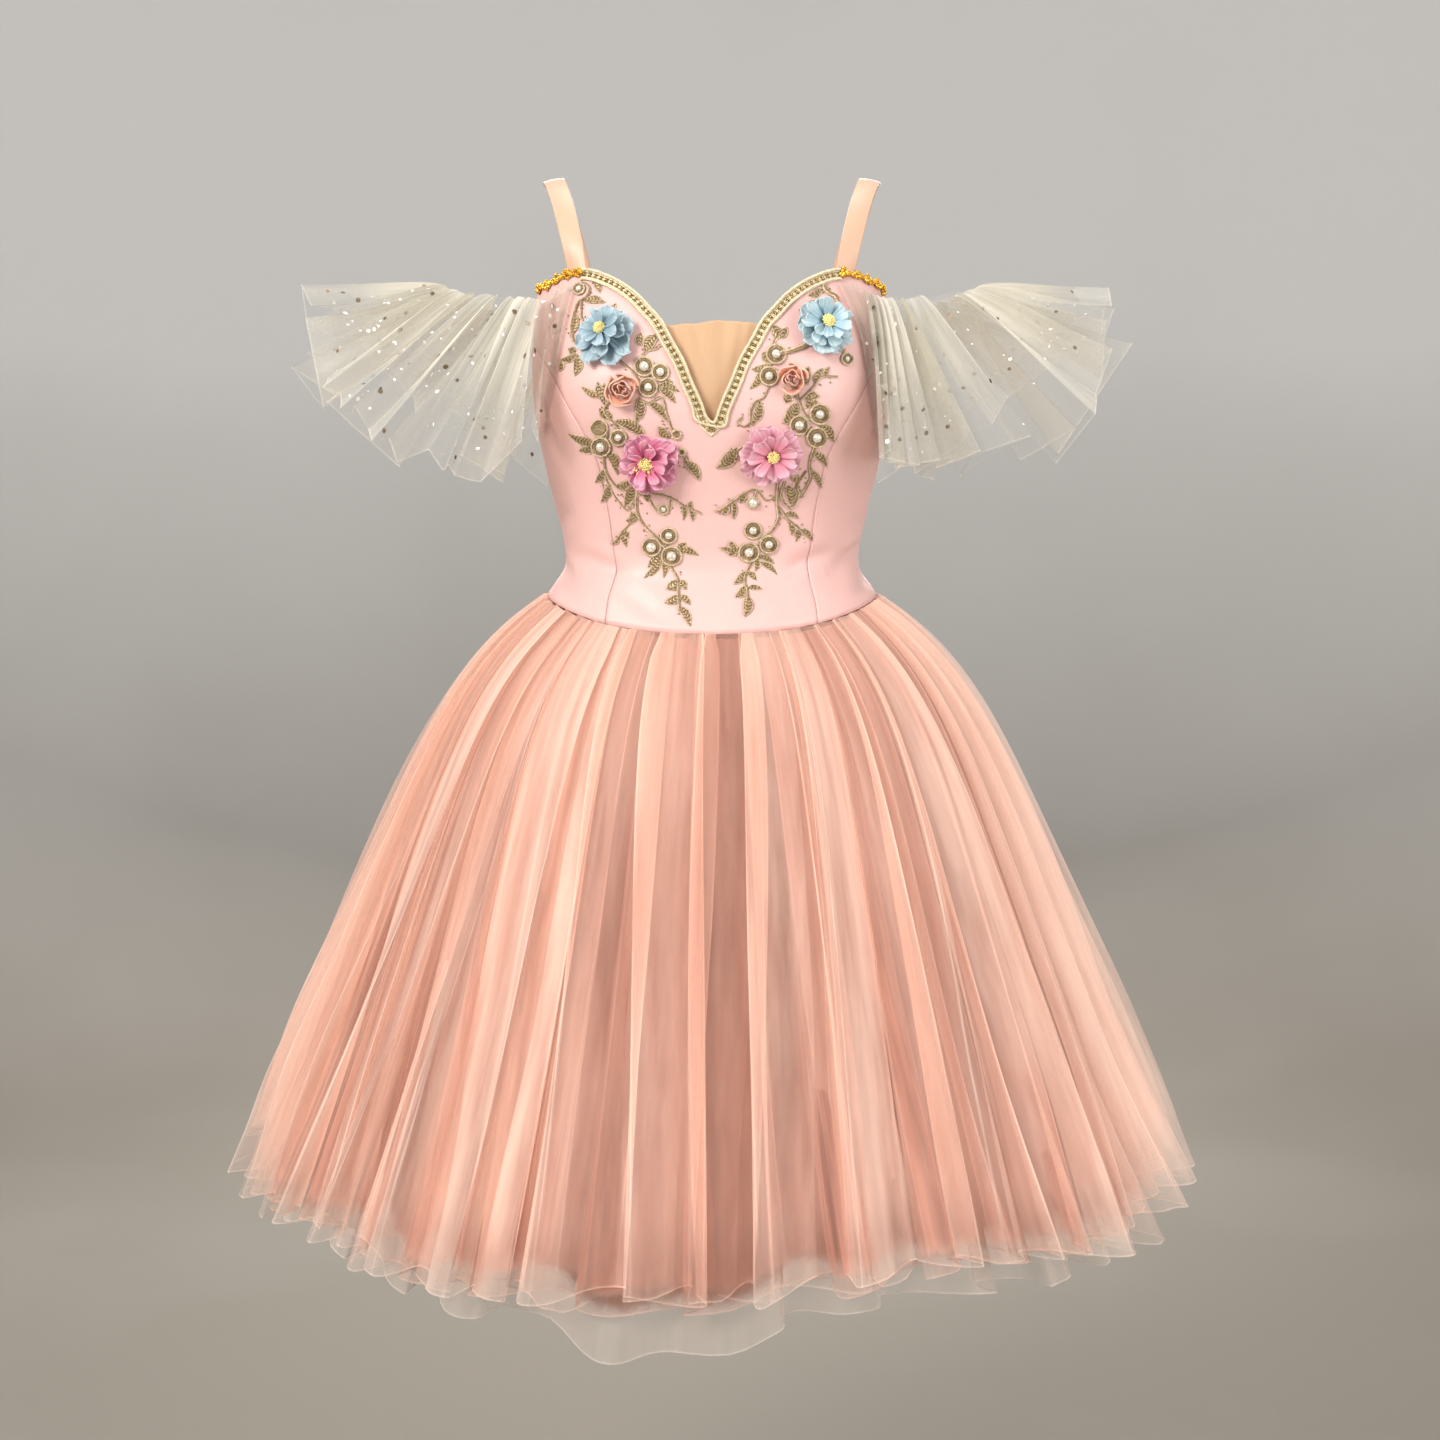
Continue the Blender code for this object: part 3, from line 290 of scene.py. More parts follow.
def ballShape(centre, axis, radius, rings=6, sides=10, squash=1.0):
    # A round bead whose pole is along axis
    axis = unit(np.asarray(axis, float))
    side = unit(np.cross(axis, (0.31, 0.17, 0.93)))
    other = np.cross(axis, side)
    polar = np.linspace(0.02, math.pi - 0.02, rings)[:, None]
    angle = (np.arange(sides) * 2 * math.pi / sides)[None]
    points = (
        side * (np.sin(polar) * np.cos(angle))[..., None]
        + other * (np.sin(polar) * np.sin(angle))[..., None]
        + axis * (np.cos(polar) * np.ones_like(angle))[..., None] * squash
    )
    uv = np.stack(np.broadcast_arrays(angle / 2 / math.pi, polar / math.pi), axis=-1)
    return np.asarray(centre) + points * radius, gridFaces(rings, sides, wraps=True, flip=True), uv


# Shader parts

def addNode(tree, kind, inputs=None, **settings):
    made = tree.nodes.new(kind)
    for key, value in settings.items():
        setattr(made, key, value)
    for key, value in (inputs or {}).items():
        if isinstance(value, bpy.types.NodeSocket):
            tree.links.new(value, made.inputs[key])
        else:
            made.inputs[key].default_value = (*value, 1.0) if isinstance(value, tuple) else value
    return made


def calc(tree, operation, *values, clamp=False):
    inputs = dict(enumerate(values))
    return addNode(tree, "ShaderNodeMath", inputs, operation=operation, use_clamp=clamp).outputs[0]


def remap(tree, value, fromLow, fromHigh, toLow=0.0, toHigh=1.0, smooth=False):
    inputs = dict(enumerate((value, fromLow, fromHigh, toLow, toHigh)))
    way = "SMOOTHSTEP" if smooth else "LINEAR"
    return addNode(tree, "ShaderNodeMapRange", inputs, interpolation_type=way).outputs[0]


def mixColour(tree, share, first, second):
    return addNode(tree, "ShaderNodeMix", {0: share, 6: first, 7: second}, data_type="RGBA").outputs[2]


def mixShader(tree, share, first, second):
    return addNode(tree, "ShaderNodeMixShader", {0: share, 1: first, 2: second}).outputs[0]


def simpleShader(tree, kind, ink=(1.0, 1.0, 1.0)):
    return addNode(tree, f"ShaderNodeBsdf{kind}", {"Color": ink}).outputs[0]


def bumpNormal(tree, height, strength, distance):
    return addNode(tree, "ShaderNodeBump", {
        "Strength": strength, "Distance": distance, "Height": height,
    }).outputs["Normal"]


def newGroup(name, inputs, outputs):
    group = bpy.data.node_groups.new(name, "ShaderNodeTree")
    for label, default in inputs:
        socket = group.interface.new_socket(label, in_out="INPUT", socket_type="NodeSocketFloat")
        socket.default_value = default
    for label in outputs:
        group.interface.new_socket(label, in_out="OUTPUT", socket_type="NodeSocketFloat")
    given = group.nodes.new("NodeGroupInput").outputs
    return group, given, group.nodes.new("NodeGroupOutput").inputs


def clothUv(tree, acrossScale=None, alongScale=None):
    # u across the cloth and v along it, in metres or times a scale
    uv = addNode(tree, "ShaderNodeUVMap", uv_map="cloth").outputs["UV"]
    u, v = addNode(tree, "ShaderNodeSeparateXYZ", {0: uv}).outputs[:2]
    if acrossScale is None:
        return u, v
    return calc(tree, "MULTIPLY", u, acrossScale), calc(tree, "MULTIPLY", v, alongScale)


def joined(tree, u, v):
    return addNode(tree, "ShaderNodeCombineXYZ", {0: u, 1: v}).outputs[0]


def noiseAt(tree, vector, detail, roughness=0.5, scale=1.0, seed=None, ways="3D"):
    inputs = {"Vector": vector, "Scale": scale, "Detail": detail, "Roughness": roughness}
    if seed is not None:
        inputs["W"] = seed
    return addNode(tree, "ShaderNodeTexNoise", inputs, noise_dimensions=ways).outputs["Fac"]


def weaveGroup():
    # Crossing threads: a height for bump
    group, given, result = newGroup("weave", (("Threads", 2500.0), ("Slub", 0.3)), ("Height", "Slubs"))
    u, v = clothUv(group, given["Threads"], given["Threads"])
    crossed = calc(group, "MULTIPLY", calc(group, "SINE", u), calc(group, "SINE", v))
    slub = noiseAt(group, joined(group, *clothUv(group, 900.0, 60.0)), 2.0)
    height = calc(group, "ADD", crossed, calc(group, "MULTIPLY", slub, given["Slub"]))
    group.links.new(height, result["Height"])
    group.links.new(slub, result["Slubs"])
    return group


def streakGroup():
    # Long uneven streaks that run down the cloth
    sockets = (("Across", 300.0), ("Along", 6.0), ("Seed", 0.0))
    group, given, result = newGroup("streaks", sockets, ("Value",))
    u, v = clothUv(group, given["Across"], given["Along"])
    moved = calc(group, "MULTIPLY_ADD", given["Seed"], 31.7, u)
    group.links.new(noiseAt(group, joined(group, moved, v), 3.0, 0.6, ways="2D"), result["Value"])
    return group


def netGroup():
    # Net: 1 on the threads and 0 in the holes
    group, given, result = newGroup("net", (("Holes", 900.0), ("Thread", 0.35)), ("Threads",))
    u, v = clothUv(group, given["Holes"], given["Holes"])
    lines = []
    for way in ("ADD", "SUBTRACT"):
        fromLine = calc(group, "PINGPONG", calc(group, way, u, v), 0.5)
        lines.append(remap(group, fromLine, 0.0, given["Thread"], 1.0, 0.0))
    group.links.new(calc(group, "MAXIMUM", *lines), result["Threads"])
    return group


def speckleGroup():
    # Soft blotches, for wear, dye and thread colour
    group, given, result = newGroup("blotches", (("Size", 40.0), ("Seed", 0.0)), ("Value",))
    place = addNode(group, "ShaderNodeTexCoord").outputs["Object"]
    noise = noiseAt(group, place, 3.0, 0.55, given["Size"], given["Seed"], "4D")
    group.links.new(noise, result["Value"])
    return group


def creaseGroup():
    # 1 along the pressed folds, which lie every Pitch across the cloth; inner folds show less. The nets add
    # thread along this mask and paint a highlight on it
    group, given, result = newGroup("creases", (("Pitch", 0.04), ("Width", 0.0016)), ("Mask",))
    pitch, width = given["Pitch"], given["Width"]
    fromOuter = calc(group, "PINGPONG", calc(group, "DIVIDE", clothUv(group)[0], pitch), 1.0)
    outer = remap(group, calc(group, "MULTIPLY", fromOuter, pitch), 0.0, width, 1.0, 0.0)
    fromInner = calc(group, "MULTIPLY", calc(group, "SUBTRACT", 1.0, fromOuter), pitch)
    inner = remap(group, fromInner, 0.0, width, 0.4, 0.0)
    group.links.new(calc(group, "ADD", outer, inner), result["Mask"])
    return group


def panelGroup():
    # One value for each panel of cloth between two pressed folds
    group, given, result = newGroup("panels", (("Pitch", 0.04), ("Seed", 0.0)), ("Value",))
    panel = calc(group, "FLOOR", calc(group, "DIVIDE", clothUv(group)[0], given["Pitch"]))
    inputs = {"Vector": joined(group, panel, given["Seed"])}
    noise = addNode(group, "ShaderNodeTexWhiteNoise", inputs, noise_dimensions="2D")
    group.links.new(noise.outputs["Value"], result["Value"])
    return group


groups = {
    "weave": weaveGroup(), "streaks": streakGroup(), "net": netGroup(), "blotches": speckleGroup(),
    "creases": creaseGroup(), "panels": panelGroup(),
}


def fillGroup(tree, name, **values):
    # The outputs of a shared group: a single one on its own, more by name
    made = addNode(tree, "ShaderNodeGroup", node_tree=groups[name])
    for label, value in values.items():
        made.inputs[label].default_value = value
    return made.outputs if len(made.outputs) > 1 else made.outputs[0]


def newMaterial(name):
    material = bpy.data.materials.new(name)
    material.use_nodes = True
    material.node_tree.nodes.clear()
    return material, material.node_tree


def showing(material, shader):
    addNode(material.node_tree, "ShaderNodeOutputMaterial", {"Surface": shader})
    return material


def principled(tree, ink, roughness, **inputs):
    inputs = {label.replace("_", " "): value for label, value in inputs.items()}
    inputs = {"Base Color": ink, "Roughness": roughness, **inputs}
    return addNode(tree, "ShaderNodeBsdfPrincipled", inputs).outputs[0]


# Materials

def satinMaterial(name, base, shade, threads=2600.0, roughness=0.40, sheen=0.25):
    material, tree = newMaterial(name)
    blotch = fillGroup(tree, "blotches", Size=9.0, Seed=2.0)
    weave = fillGroup(tree, "weave", Threads=threads, Slub=0.6)
    slubs = remap(tree, weave["Slubs"], 0.35, 0.75)
    tone = calc(tree, "MULTIPLY_ADD", slubs, 0.25, calc(tree, "MULTIPLY", blotch, 0.5))
    face = mixColour(tree, calc(tree, "MULTIPLY", tone, 0.6, clamp=True), base, shade)
    rough = calc(tree, "MULTIPLY_ADD", slubs, 0.10, roughness)
    return showing(material, principled(
        tree, face, rough, Normal=bumpNormal(tree, weave["Height"], 0.12, 0.0002), Specular_IOR_Level=0.38,
        Sheen_Weight=sheen, Sheen_Roughness=0.4, Anisotropic=0.3,
    ))


def netDensity(tree, look, streaks, aboveHem, pressed, panel):
    # The share that thread covers: uneven by panel and streak, and more at pressed folds and the hem's edge
    ragged = calc(tree, "MULTIPLY_ADD", streaks, -look["ragged"], look["ragged"] / 2)
    ragged = calc(tree, "ADD", aboveHem, ragged)
    ends = (look["sheerEnd"], look["denseStart"], look["sheer"], look["dense"])
    density = remap(tree, ragged, *ends, smooth=True)
    net = fillGroup(tree, "net", Holes=look["holes"], Thread=0.32)
    for value, low, high, vary in (
        (streaks, 0.32, 0.70, look["streaky"]), (net, 0.0, 1.0, look["netty"]),
        (panel, 0.0, 1.0, look["panelVary"]),
    ):
        density = calc(tree, "MULTIPLY", density, remap(tree, value, low, high, 1 - vary, 1 + vary))
    density = calc(tree, "MULTIPLY_ADD", pressed, look["crease"], density)
    edge = calc(tree, "MULTIPLY", remap(tree, aboveHem, 0.0006, 0.0018, 1.0, 0.0), look["edge"])
    return calc(tree, "MINIMUM", calc(tree, "ADD", density, edge), 0.985)


def netMaterial(name, look):
    # Sheer net: the denser the nearer to edge-on, as real net is; there and along pressed folds the colour
    # is painted paler, a painted highlight
    material, tree = newMaterial(name)
    material.use_transparent_shadow = look["castsSheer"]
    seed, pitch, aboveHem = look["seed"], look["pitch"], clothUv(tree)[1]
    streaks = fillGroup(tree, "streaks", Across=look["streakAcross"], Along=look["streakAlong"], Seed=seed)
    pressed = fillGroup(tree, "creases", Pitch=pitch, Width=look["creaseWidth"])
    pressed = calc(tree, "MULTIPLY", pressed, remap(tree, streaks, 0.30, 0.60, 0.25, 1.0))
    pressed = calc(tree, "MULTIPLY", pressed, remap(tree, aboveHem, 0.015, 0.11, look["creaseAtHem"], 1.0))
    panel = fillGroup(tree, "panels", Pitch=pitch, Seed=seed)
    density = netDensity(tree, look, streaks, aboveHem, pressed, panel)
    facing = addNode(tree, "ShaderNodeLayerWeight", {"Blend": 0.5}).outputs["Facing"]
    slant = calc(tree, "MAXIMUM", calc(tree, "SUBTRACT", 1.0, facing), look["leastSlant"])
    through = calc(tree, "POWER", calc(tree, "SUBTRACT", 1.0, density), calc(tree, "DIVIDE", 1.0, slant))
    opacity = calc(tree, "SUBTRACT", 1.0, through, clamp=True)
    offMiddle, streakTone = calc(tree, "SUBTRACT", panel, 0.5), remap(tree, streaks, 0.3, 0.7)
    tone = calc(tree, "MULTIPLY_ADD", offMiddle, look["panelTone"], streakTone, clamp=True)
    dyed = mixColour(tree, tone, look["deep"], look["pale"])
    nearHem = remap(tree, aboveHem, look["sheerEnd"], look["denseStart"], look["hemPale"], 0.0)
    dyed = mixColour(tree, nearHem, dyed, look["edgeInk"])
    # Painted highlight: the colour turns to the pale edge ink where the net is edge-on and along the pressed
    # folds
    lines = calc(tree, "MAXIMUM", remap(tree, facing, 0.55, 0.95, 0.0, look["paintedEdgeHighlight"]), pressed)
    dyed = mixColour(tree, calc(tree, "MINIMUM", lines, 1.0), dyed, look["edgeInk"])
    sheen = {"Sheen_Weight": look["sheen"], "Sheen_Roughness": 0.5}
    cloth = principled(tree, dyed, 0.75, Specular_IOR_Level=0.2, **sheen)
    lit = mixShader(tree, look["glow"], cloth, simpleShader(tree, "Translucent", dyed))
    sheer = mixShader(tree, opacity, simpleShader(tree, "Transparent"), lit)
    # Shadows meet one even tint and bounced light plain cloth, which render faster than the whole weave
    ray = addNode(tree, "ShaderNodeLightPath").outputs
    plain = simpleShader(tree, "Diffuse", look["deep"])
    tinted = mixShader(tree, look["shadowMix"], simpleShader(tree, "Transparent", look["shadow"]), plain)
    unseen = mixShader(tree, ray["Is Shadow Ray"], plain, tinted)
    return showing(material, mixShader(tree, ray["Is Camera Ray"], unseen, sheer))


def hardMaterial(name, base, shade, roughness, metallic=0.0, coat=0.0):
    # Beads, pearls and stones
    material, tree = newMaterial(name)
    blotch = fillGroup(tree, "blotches", Size=900.0, Seed=1.0)
    face = mixColour(tree, remap(tree, blotch, 0.35, 0.65), base, shade)
    rough = remap(tree, blotch, 0.3, 0.7, roughness * 0.8, roughness * 1.25)
    return showing(material, principled(
        tree, face, rough, Metallic=metallic, Coat_Weight=coat, Coat_Roughness=0.08,
    ))


def threadMaterial(name, base, shade, metallic=0.35, pitch=2600.0, contrast=0.22):
    # Couched thread: fine slanting ridges across each shape
    material, tree = newMaterial(name)
    u, v = clothUv(tree, pitch, pitch)
    ridges = calc(tree, "SINE", calc(tree, "ADD", v, calc(tree, "MULTIPLY", u, 0.6)))
    blotch = remap(tree, fillGroup(tree, "blotches", Size=420.0, Seed=3.0), 0.3, 0.7)
    face = mixColour(tree, calc(tree, "MULTIPLY_ADD", ridges, contrast, blotch, clamp=True), base, shade)
    normal = bumpNormal(tree, ridges, 0.5, 0.0002)
    shader = principled(tree, face, 0.42, Metallic=metallic, Normal=normal, Sheen_Weight=0.2)
    return showing(material, shader)


def petalMaterial(name, heart, middle, tip, veins=46.0):
    # Petal cloth: v runs from the heart of the flower to the tip, u across
    material, tree = newMaterial(name)
    u, v = clothUv(tree)
    blotch = fillGroup(tree, "blotches", Size=160.0, Seed=4.0)
    along = calc(tree, "ADD", v, calc(tree, "MULTIPLY_ADD", blotch, 0.5, -0.25))
    # The petals' own colour runs from heart to tip; the dark heart ink is partly painted shade where petals
    # crowd the heart, and the pale tips partly painted light on the rims
    inner = mixColour(tree, remap(tree, along, 0.05, 0.45, smooth=True), heart, middle)
    face = mixColour(tree, remap(tree, along, 0.45, 1.0, smooth=True), inner, tip)
    vein = calc(tree, "SINE", calc(tree, "MULTIPLY", u, veins))
    lined = mixColour(tree, remap(tree, vein, 0.2, 1.0, 0.0, 0.20), face, tuple(c * 0.62 for c in middle))
    normal = bumpNormal(tree, vein, 0.30, 0.0004)
    cloth = principled(tree, lined, 0.7, Normal=normal, Sheen_Weight=0.3, Specular_IOR_Level=0.25)
    return showing(material, mixShader(tree, 0.30, cloth, simpleShader(tree, "Translucent", lined)))


satin = satinMaterial("bodiceSatin", (0.790, 0.505, 0.480), (0.740, 0.440, 0.410), sheen=0.08)
ribbon = satinMaterial("strapSatin", (0.680, 0.430, 0.310), (0.600, 0.350, 0.240), roughness=0.34, sheen=0.1)
creamThread = threadMaterial("creamCord", (0.940, 0.850, 0.620), (0.820, 0.680, 0.420), 0.05, pitch=3600.0)
goldThread = threadMaterial("goldThread", (0.600, 0.410, 0.230), (0.300, 0.180, 0.085), 0.40)
paleGoldThread = threadMaterial("paleGoldThread", (0.900, 0.760, 0.530), (0.560, 0.410, 0.230), 0.25)
leafThread = threadMaterial("leafThread", (0.460, 0.320, 0.170), (0.130, 0.085, 0.040), contrast=0.5)
goldBead = hardMaterial("goldBead", (0.950, 0.600, 0.110), (0.700, 0.340, 0.025), 0.22, metallic=0.8)
bronzeStone = hardMaterial("bronzeStone", (0.420, 0.290, 0.100), (0.160, 0.095, 0.025), 0.16, 0.7, coat=0.8)
pearl = hardMaterial("pearl", (0.900, 0.870, 0.780), (0.520, 0.470, 0.350), 0.20, metallic=0.25, coat=0.8)
stamen = hardMaterial("stamen", (0.950, 0.860, 0.440), (0.880, 0.700, 0.220), 0.6)
# Net. dense and sheer are the share that thread covers, above denseStart and below sheerEnd, heights over
# the hem; pitch is the width of cloth between two pressed folds, which the panel settings set apart
peachLook = {
    # edgeInk is the pale ink of the painted highlight at edge-on and pressed folds, and of the paler band by
    # the hem
    "pale": (1.000, 0.800, 0.700), "deep": (0.970, 0.710, 0.605), "edgeInk": (1.0, 0.880, 0.790),
    "dense": 0.25, "sheer": 0.15, "sheerEnd": 0.012, "denseStart": 0.060, "edge": 0.20, "hemPale": 0.5,
    "streaky": 0.34, "streakAcross": 60.0, "streakAlong": 5.0, "ragged": 0.020, "netty": 0.15,
    "holes": 900.0, "pitch": 0.040, "crease": 0.30, "creaseWidth": 0.0018, "creaseAtHem": 0.35,
    "panelVary": 0.68, "panelTone": 0.8, "leastSlant": 0.62, "paintedEdgeHighlight": 0.7, "sheen": 0.15, "glow": 0.34,
    "seed": 1.0, "castsSheer": True, "shadow": (1.0, 0.97, 0.955), "shadowMix": 0.24,
}
overNet = netMaterial("peachNetOver", peachLook)
secondNet = netMaterial("peachNetSecond", {
    **peachLook, "seed": 7.0, "pale": (0.960, 0.735, 0.635), "deep": (0.920, 0.640, 0.545),
    "pitch": 1.6 / 44, "dense": 0.32,
})
# The middle and under nets' deeper, darker inks are partly their own dye and partly painted shade for the
# depth of the skirt under the outer nets
middleNet = netMaterial("peachNetMiddle", {
    **peachLook, "seed": 3.0, "pale": (0.900, 0.540, 0.440), "deep": (0.800, 0.410, 0.315),
    "edgeInk": (0.98, 0.72, 0.61), "dense": 0.55, "sheer": 0.18, "sheerEnd": 0.010, "denseStart": 0.019,
    "hemPale": 0.8, "paintedEdgeHighlight": 0.5, "pitch": 0.050, "crease": 0.20, "panelVary": 0.35, "leastSlant": 0.5,
    "castsSheer": False, "shadowMix": 0.46,
})
underNet = netMaterial("peachNetUnder", {
    **peachLook, "seed": 5.0, "pale": (0.800, 0.400, 0.295), "deep": (0.600, 0.270, 0.190),
    "dense": 0.96, "sheer": 0.16, "sheerEnd": 0.028, "denseStart": 0.040, "hemPale": 1.0, "paintedEdgeHighlight": 0.2,
    "pitch": 1.6 / 26, "crease": 0.05, "panelVary": 0.0, "leastSlant": 0.42,
    "castsSheer": False, "shadowMix": 0.92,
})
# The ivory nets' deep ink is darkened as painted shade for net in shadow, laid on panels and streaks at
# random
ivoryLook = {
    **peachLook, "seed": 9.0, "pale": (0.780, 0.750, 0.670), "deep": (0.500, 0.475, 0.400),
    "edgeInk": (0.92, 0.88, 0.80), "dense": 0.42, "sheer": 0.09, "sheerEnd": 0.030, "denseStart": 0.115,
    "hemPale": 0.3, "pitch": 0.035, "crease": 0.16, "creaseWidth": 0.0010, "creaseAtHem": 0.9,
    "panelVary": 0.95, "panelTone": 1.0, "leastSlant": 0.5, "sheen": 0.10,
    "shadow": (1.0, 0.98, 0.95), "shadowMix": 0.30,
}
ivoryNet = netMaterial("ivoryNet", ivoryLook)
ivoryUnderNet = netMaterial("ivoryNetUnder", {**ivoryLook, "seed": 11.0, "dense": 0.20, "sheer": 0.10})
print("materials made")


# Bodice

bodice = {
    "rows": 64, "centreColumns": 221, "sideColumns": 61, "thickness": 0.0012,
    "seamRoll": 0.0007, "seamReach": 0.0030, "rowsToTop": 1.3,
    # the satin's small unevenness, and each crease's bow, depth, low ridge beside it and the ridge's place
    "uneven": 0.00045, "bow": 0.0025, "trough": 1.3, "ridge": 0.55, "ridgeAt": 1.7, "fadeToEdge": 0.012,
    # soft creases: from (turn, height) to (turn, height), width and depth
    "creases": (
        (9, -0.330, 34, -0.298, 0.0060, 0.0016),
        (14, -0.338, 36, -0.318, 0.0045, 0.0010),
        (20, -0.300, 58, -0.286, 0.0065, 0.0014),
        (-30, -0.304, -60, -0.290, 0.0060, 0.0014),
        (-12, -0.336, -34, -0.312, 0.0050, 0.0010),
        (48, -0.300, 84, -0.282, 0.0060, 0.0018),
        (-50, -0.322, -84, -0.298, 0.0060, 0.0018),
        (52, -0.326, 88, -0.306, 0.0055, 0.0014),
        (62, -0.262, 86, -0.272, 0.0070, 0.0012),
        (-60, -0.255, -86, -0.270, 0.0070, 0.0014),
        (58, -0.210, 74, -0.160, 0.0070, 0.0012),
        (-56, -0.215, -72, -0.165, 0.0080, 0.0014),
        (0, -0.215, 4, -0.300, 0.0120, 0.0007),
        (100, -0.290, 138, -0.300, 0.0065, 0.0016),
        (-100, -0.286, -136, -0.302, 0.0065, 0.0016),
        (150, -0.312, 172, -0.296, 0.0055, 0.0013),
        (-150, -0.300, -172, -0.290, 0.0060, 0.0013),
        (118, -0.215, 136, -0.260, 0.0080, 0.0012),
        (-120, -0.205, -138, -0.255, 0.0080, 0.0012),
    ),
}
placket = {
    "width": 0.022, "formRadius": 0.083, "shown": 0.75, "thickness": 0.0010, "crown": 0.0004,
    "squareness": 6,
}
frontSeamRows = {
    "turn": (32.5, 35.0, 37.0, 36.5, 37.0, 44.5, 55.0, 78.0),
    "height": (seamHeight(32.5), -0.310, -0.285, -0.250, -0.212, -0.177, -0.152, topHeight(78.0)),
}
meanRadius = 0.125
arcPerDegree = math.radians(1) * meanRadius
# stitches: how many points to each, on and off, their radius and how they arch out of the cloth
stitches = {"step": 0.0009, "points": 3, "every": 4, "radius": 0.00016, "arch": (-0.0001, 0.00022, -0.0001)}
stitchLines = {"fromSeam": 1.3, "belowTop": 0.004, "overWaist": 0.0022}


def frontSeam(share):
    steps = np.arange(len(frontSeamRows["turn"]))
    at = np.asarray(share, float) * steps[-1]
    return smoothCurve(steps, frontSeamRows["turn"], at), smoothCurve(steps, frontSeamRows["height"], at)


def creaseDepth(turn, height):
    # How far the creases draw the satin in at each place
    depth = bodice["uneven"] * valueNoise(4, (48, 12), ((turn + 180) / 7.6, (height + 0.36) / 0.03))
    for turn0, height0, turn1, height1, width, deep in bodice["creases"]:
        start = np.array((turn0 * arcPerDegree, height0))
        run = np.array((turn1 * arcPerDegree, height1)) - start
        dx, dy = turn * arcPerDegree - start[0], height - start[1]
        along = (dx * run[0] + dy * run[1]) / (run @ run)
        held = np.clip(along, 0, 1)
        bow = bodice["bow"] * np.sin(held * math.pi)
        off = np.hypot(dx - held * run[0], dy - held * run[1] - bow) / width
        taper = np.sin(np.clip(held, 0.04, 0.96) * math.pi) ** 0.7
        ridge = bodice["ridge"] * np.exp(-((off - bodice["ridgeAt"]) ** 2))
        depth = depth + bodice["trough"] * deep * taper * (np.exp(-(off**2)) - ridge)
    return depth


def satinLift(turn, height):
    edge = np.minimum(topHeight(turn) - height, height - seamHeight(turn))
    return satinWall - creaseDepth(turn, height) * smoothStep(0.0, bodice["fadeToEdge"], edge)


def panelGrid(bottom, top, left, right, columns):
    # (turn, height) over a panel between four edges, with rows closer together towards the top
    u = np.linspace(0, 1, columns)[None, :]
    v = (1 - (1 - np.linspace(0, 1, bodice["rows"])) ** bodice["rowsToTop"])[:, None]
    grid = []
    for k in (0, 1):
        low, high, near, far = bottom(u)[k], top(u)[k], left(v)[k], right(v)[k]
        corners = (1 - v) * ((1 - u) * bottom(0.0)[k] + u * bottom(1.0)[k])
        corners = corners + v * ((1 - u) * top(0.0)[k] + u * top(1.0)[k])
        grid.append((1 - v) * low + v * high + (1 - u) * near + u * far - corners)
    return grid


def satinPanel(name, turn, height):
    width = np.cumsum(np.abs(np.diff(turn, axis=1)) * arcPerDegree, axis=1)
    u = np.concatenate([np.zeros((len(turn), 1)), width], axis=1)
    fromSide = np.minimum(u, u[:, -1:] - u)
    roll = bodice["seamRoll"] * (1 - smoothStep(0.0, bodice["seamReach"], fromSide))
    points = onBody(turn, height, satinLift(turn, height) - roll)
    for edge, inner in ((0, 1), (-1, -2)):
        points[:, edge] += unit(points[:, inner] - points[:, edge]) * seamGap * 0.5
    uv = np.stack([turn * arcPerDegree, height], axis=-1)
    return gridPiece(f"{name}_satin", points, uv, satin, "satin", (name,), bodice["thickness"])


def declareCloth(piece):
    # Reads the area of each face of the piece; nothing is done with it
    graph = bpy.context.evaluated_depsgraph_get()
    mesh = piece.evaluated_get(graph).to_mesh()
    areas = np.zeros(len(mesh.polygons))
    mesh.polygons.foreach_get("area", areas)


def upright(turn):
    # A panel's edge that runs straight up at one turn
    return lambda v: (turn + 0 * v, seamHeight(turn) + v * (topHeight(turn) - seamHeight(turn)))


def panelEnd(near, far, share, edgeHeight):
    # A panel's lower or upper edge, between its near and far sides
    def edge(u):
        first, last = near(share)[0], far(share)[0]
        turn = first + u * (last - first)
        return turn, edgeHeight(turn)
    return edge


def centreEnd(turn, edgeHeight):
    def edge(u):
        at = (2 * np.asarray(u) - 1) * turn
        return at, edgeHeight(at)
    return edge


def makeBodice():
    def centreSide(v):
        turn, height = frontSeam(v)
        return -turn, height

    bottom = centreEnd(frontSeamRows["turn"][0], seamHeight)
    top = centreEnd(frontSeamRows["turn"][-1], topHeight)
    centre = panelGrid(bottom, top, centreSide, frontSeam, bodice["centreColumns"])
    panels = [("bodice_front_centre", centre)]
    side, backSeam = upright(sideTurn), upright(backSeamTurn)
    cuts = (("front_side", frontSeam, side), ("back_side", side, backSeam), ("back", backSeam, upright(180)))
    for label, near, far in cuts:
        bottom, top = panelEnd(near, far, 0.0, seamHeight), panelEnd(near, far, 1.0, topHeight)
        turn, height = panelGrid(bottom, top, near, far, bodice["sideColumns"])
        panels.append((f"bodice_{label}_left", (turn, height)))
        panels.append((f"bodice_{label}_right", (-turn[:, ::-1], height[:, ::-1])))
    for name, (turn, height) in panels:
        declareCloth(satinPanel(name, turn, height))


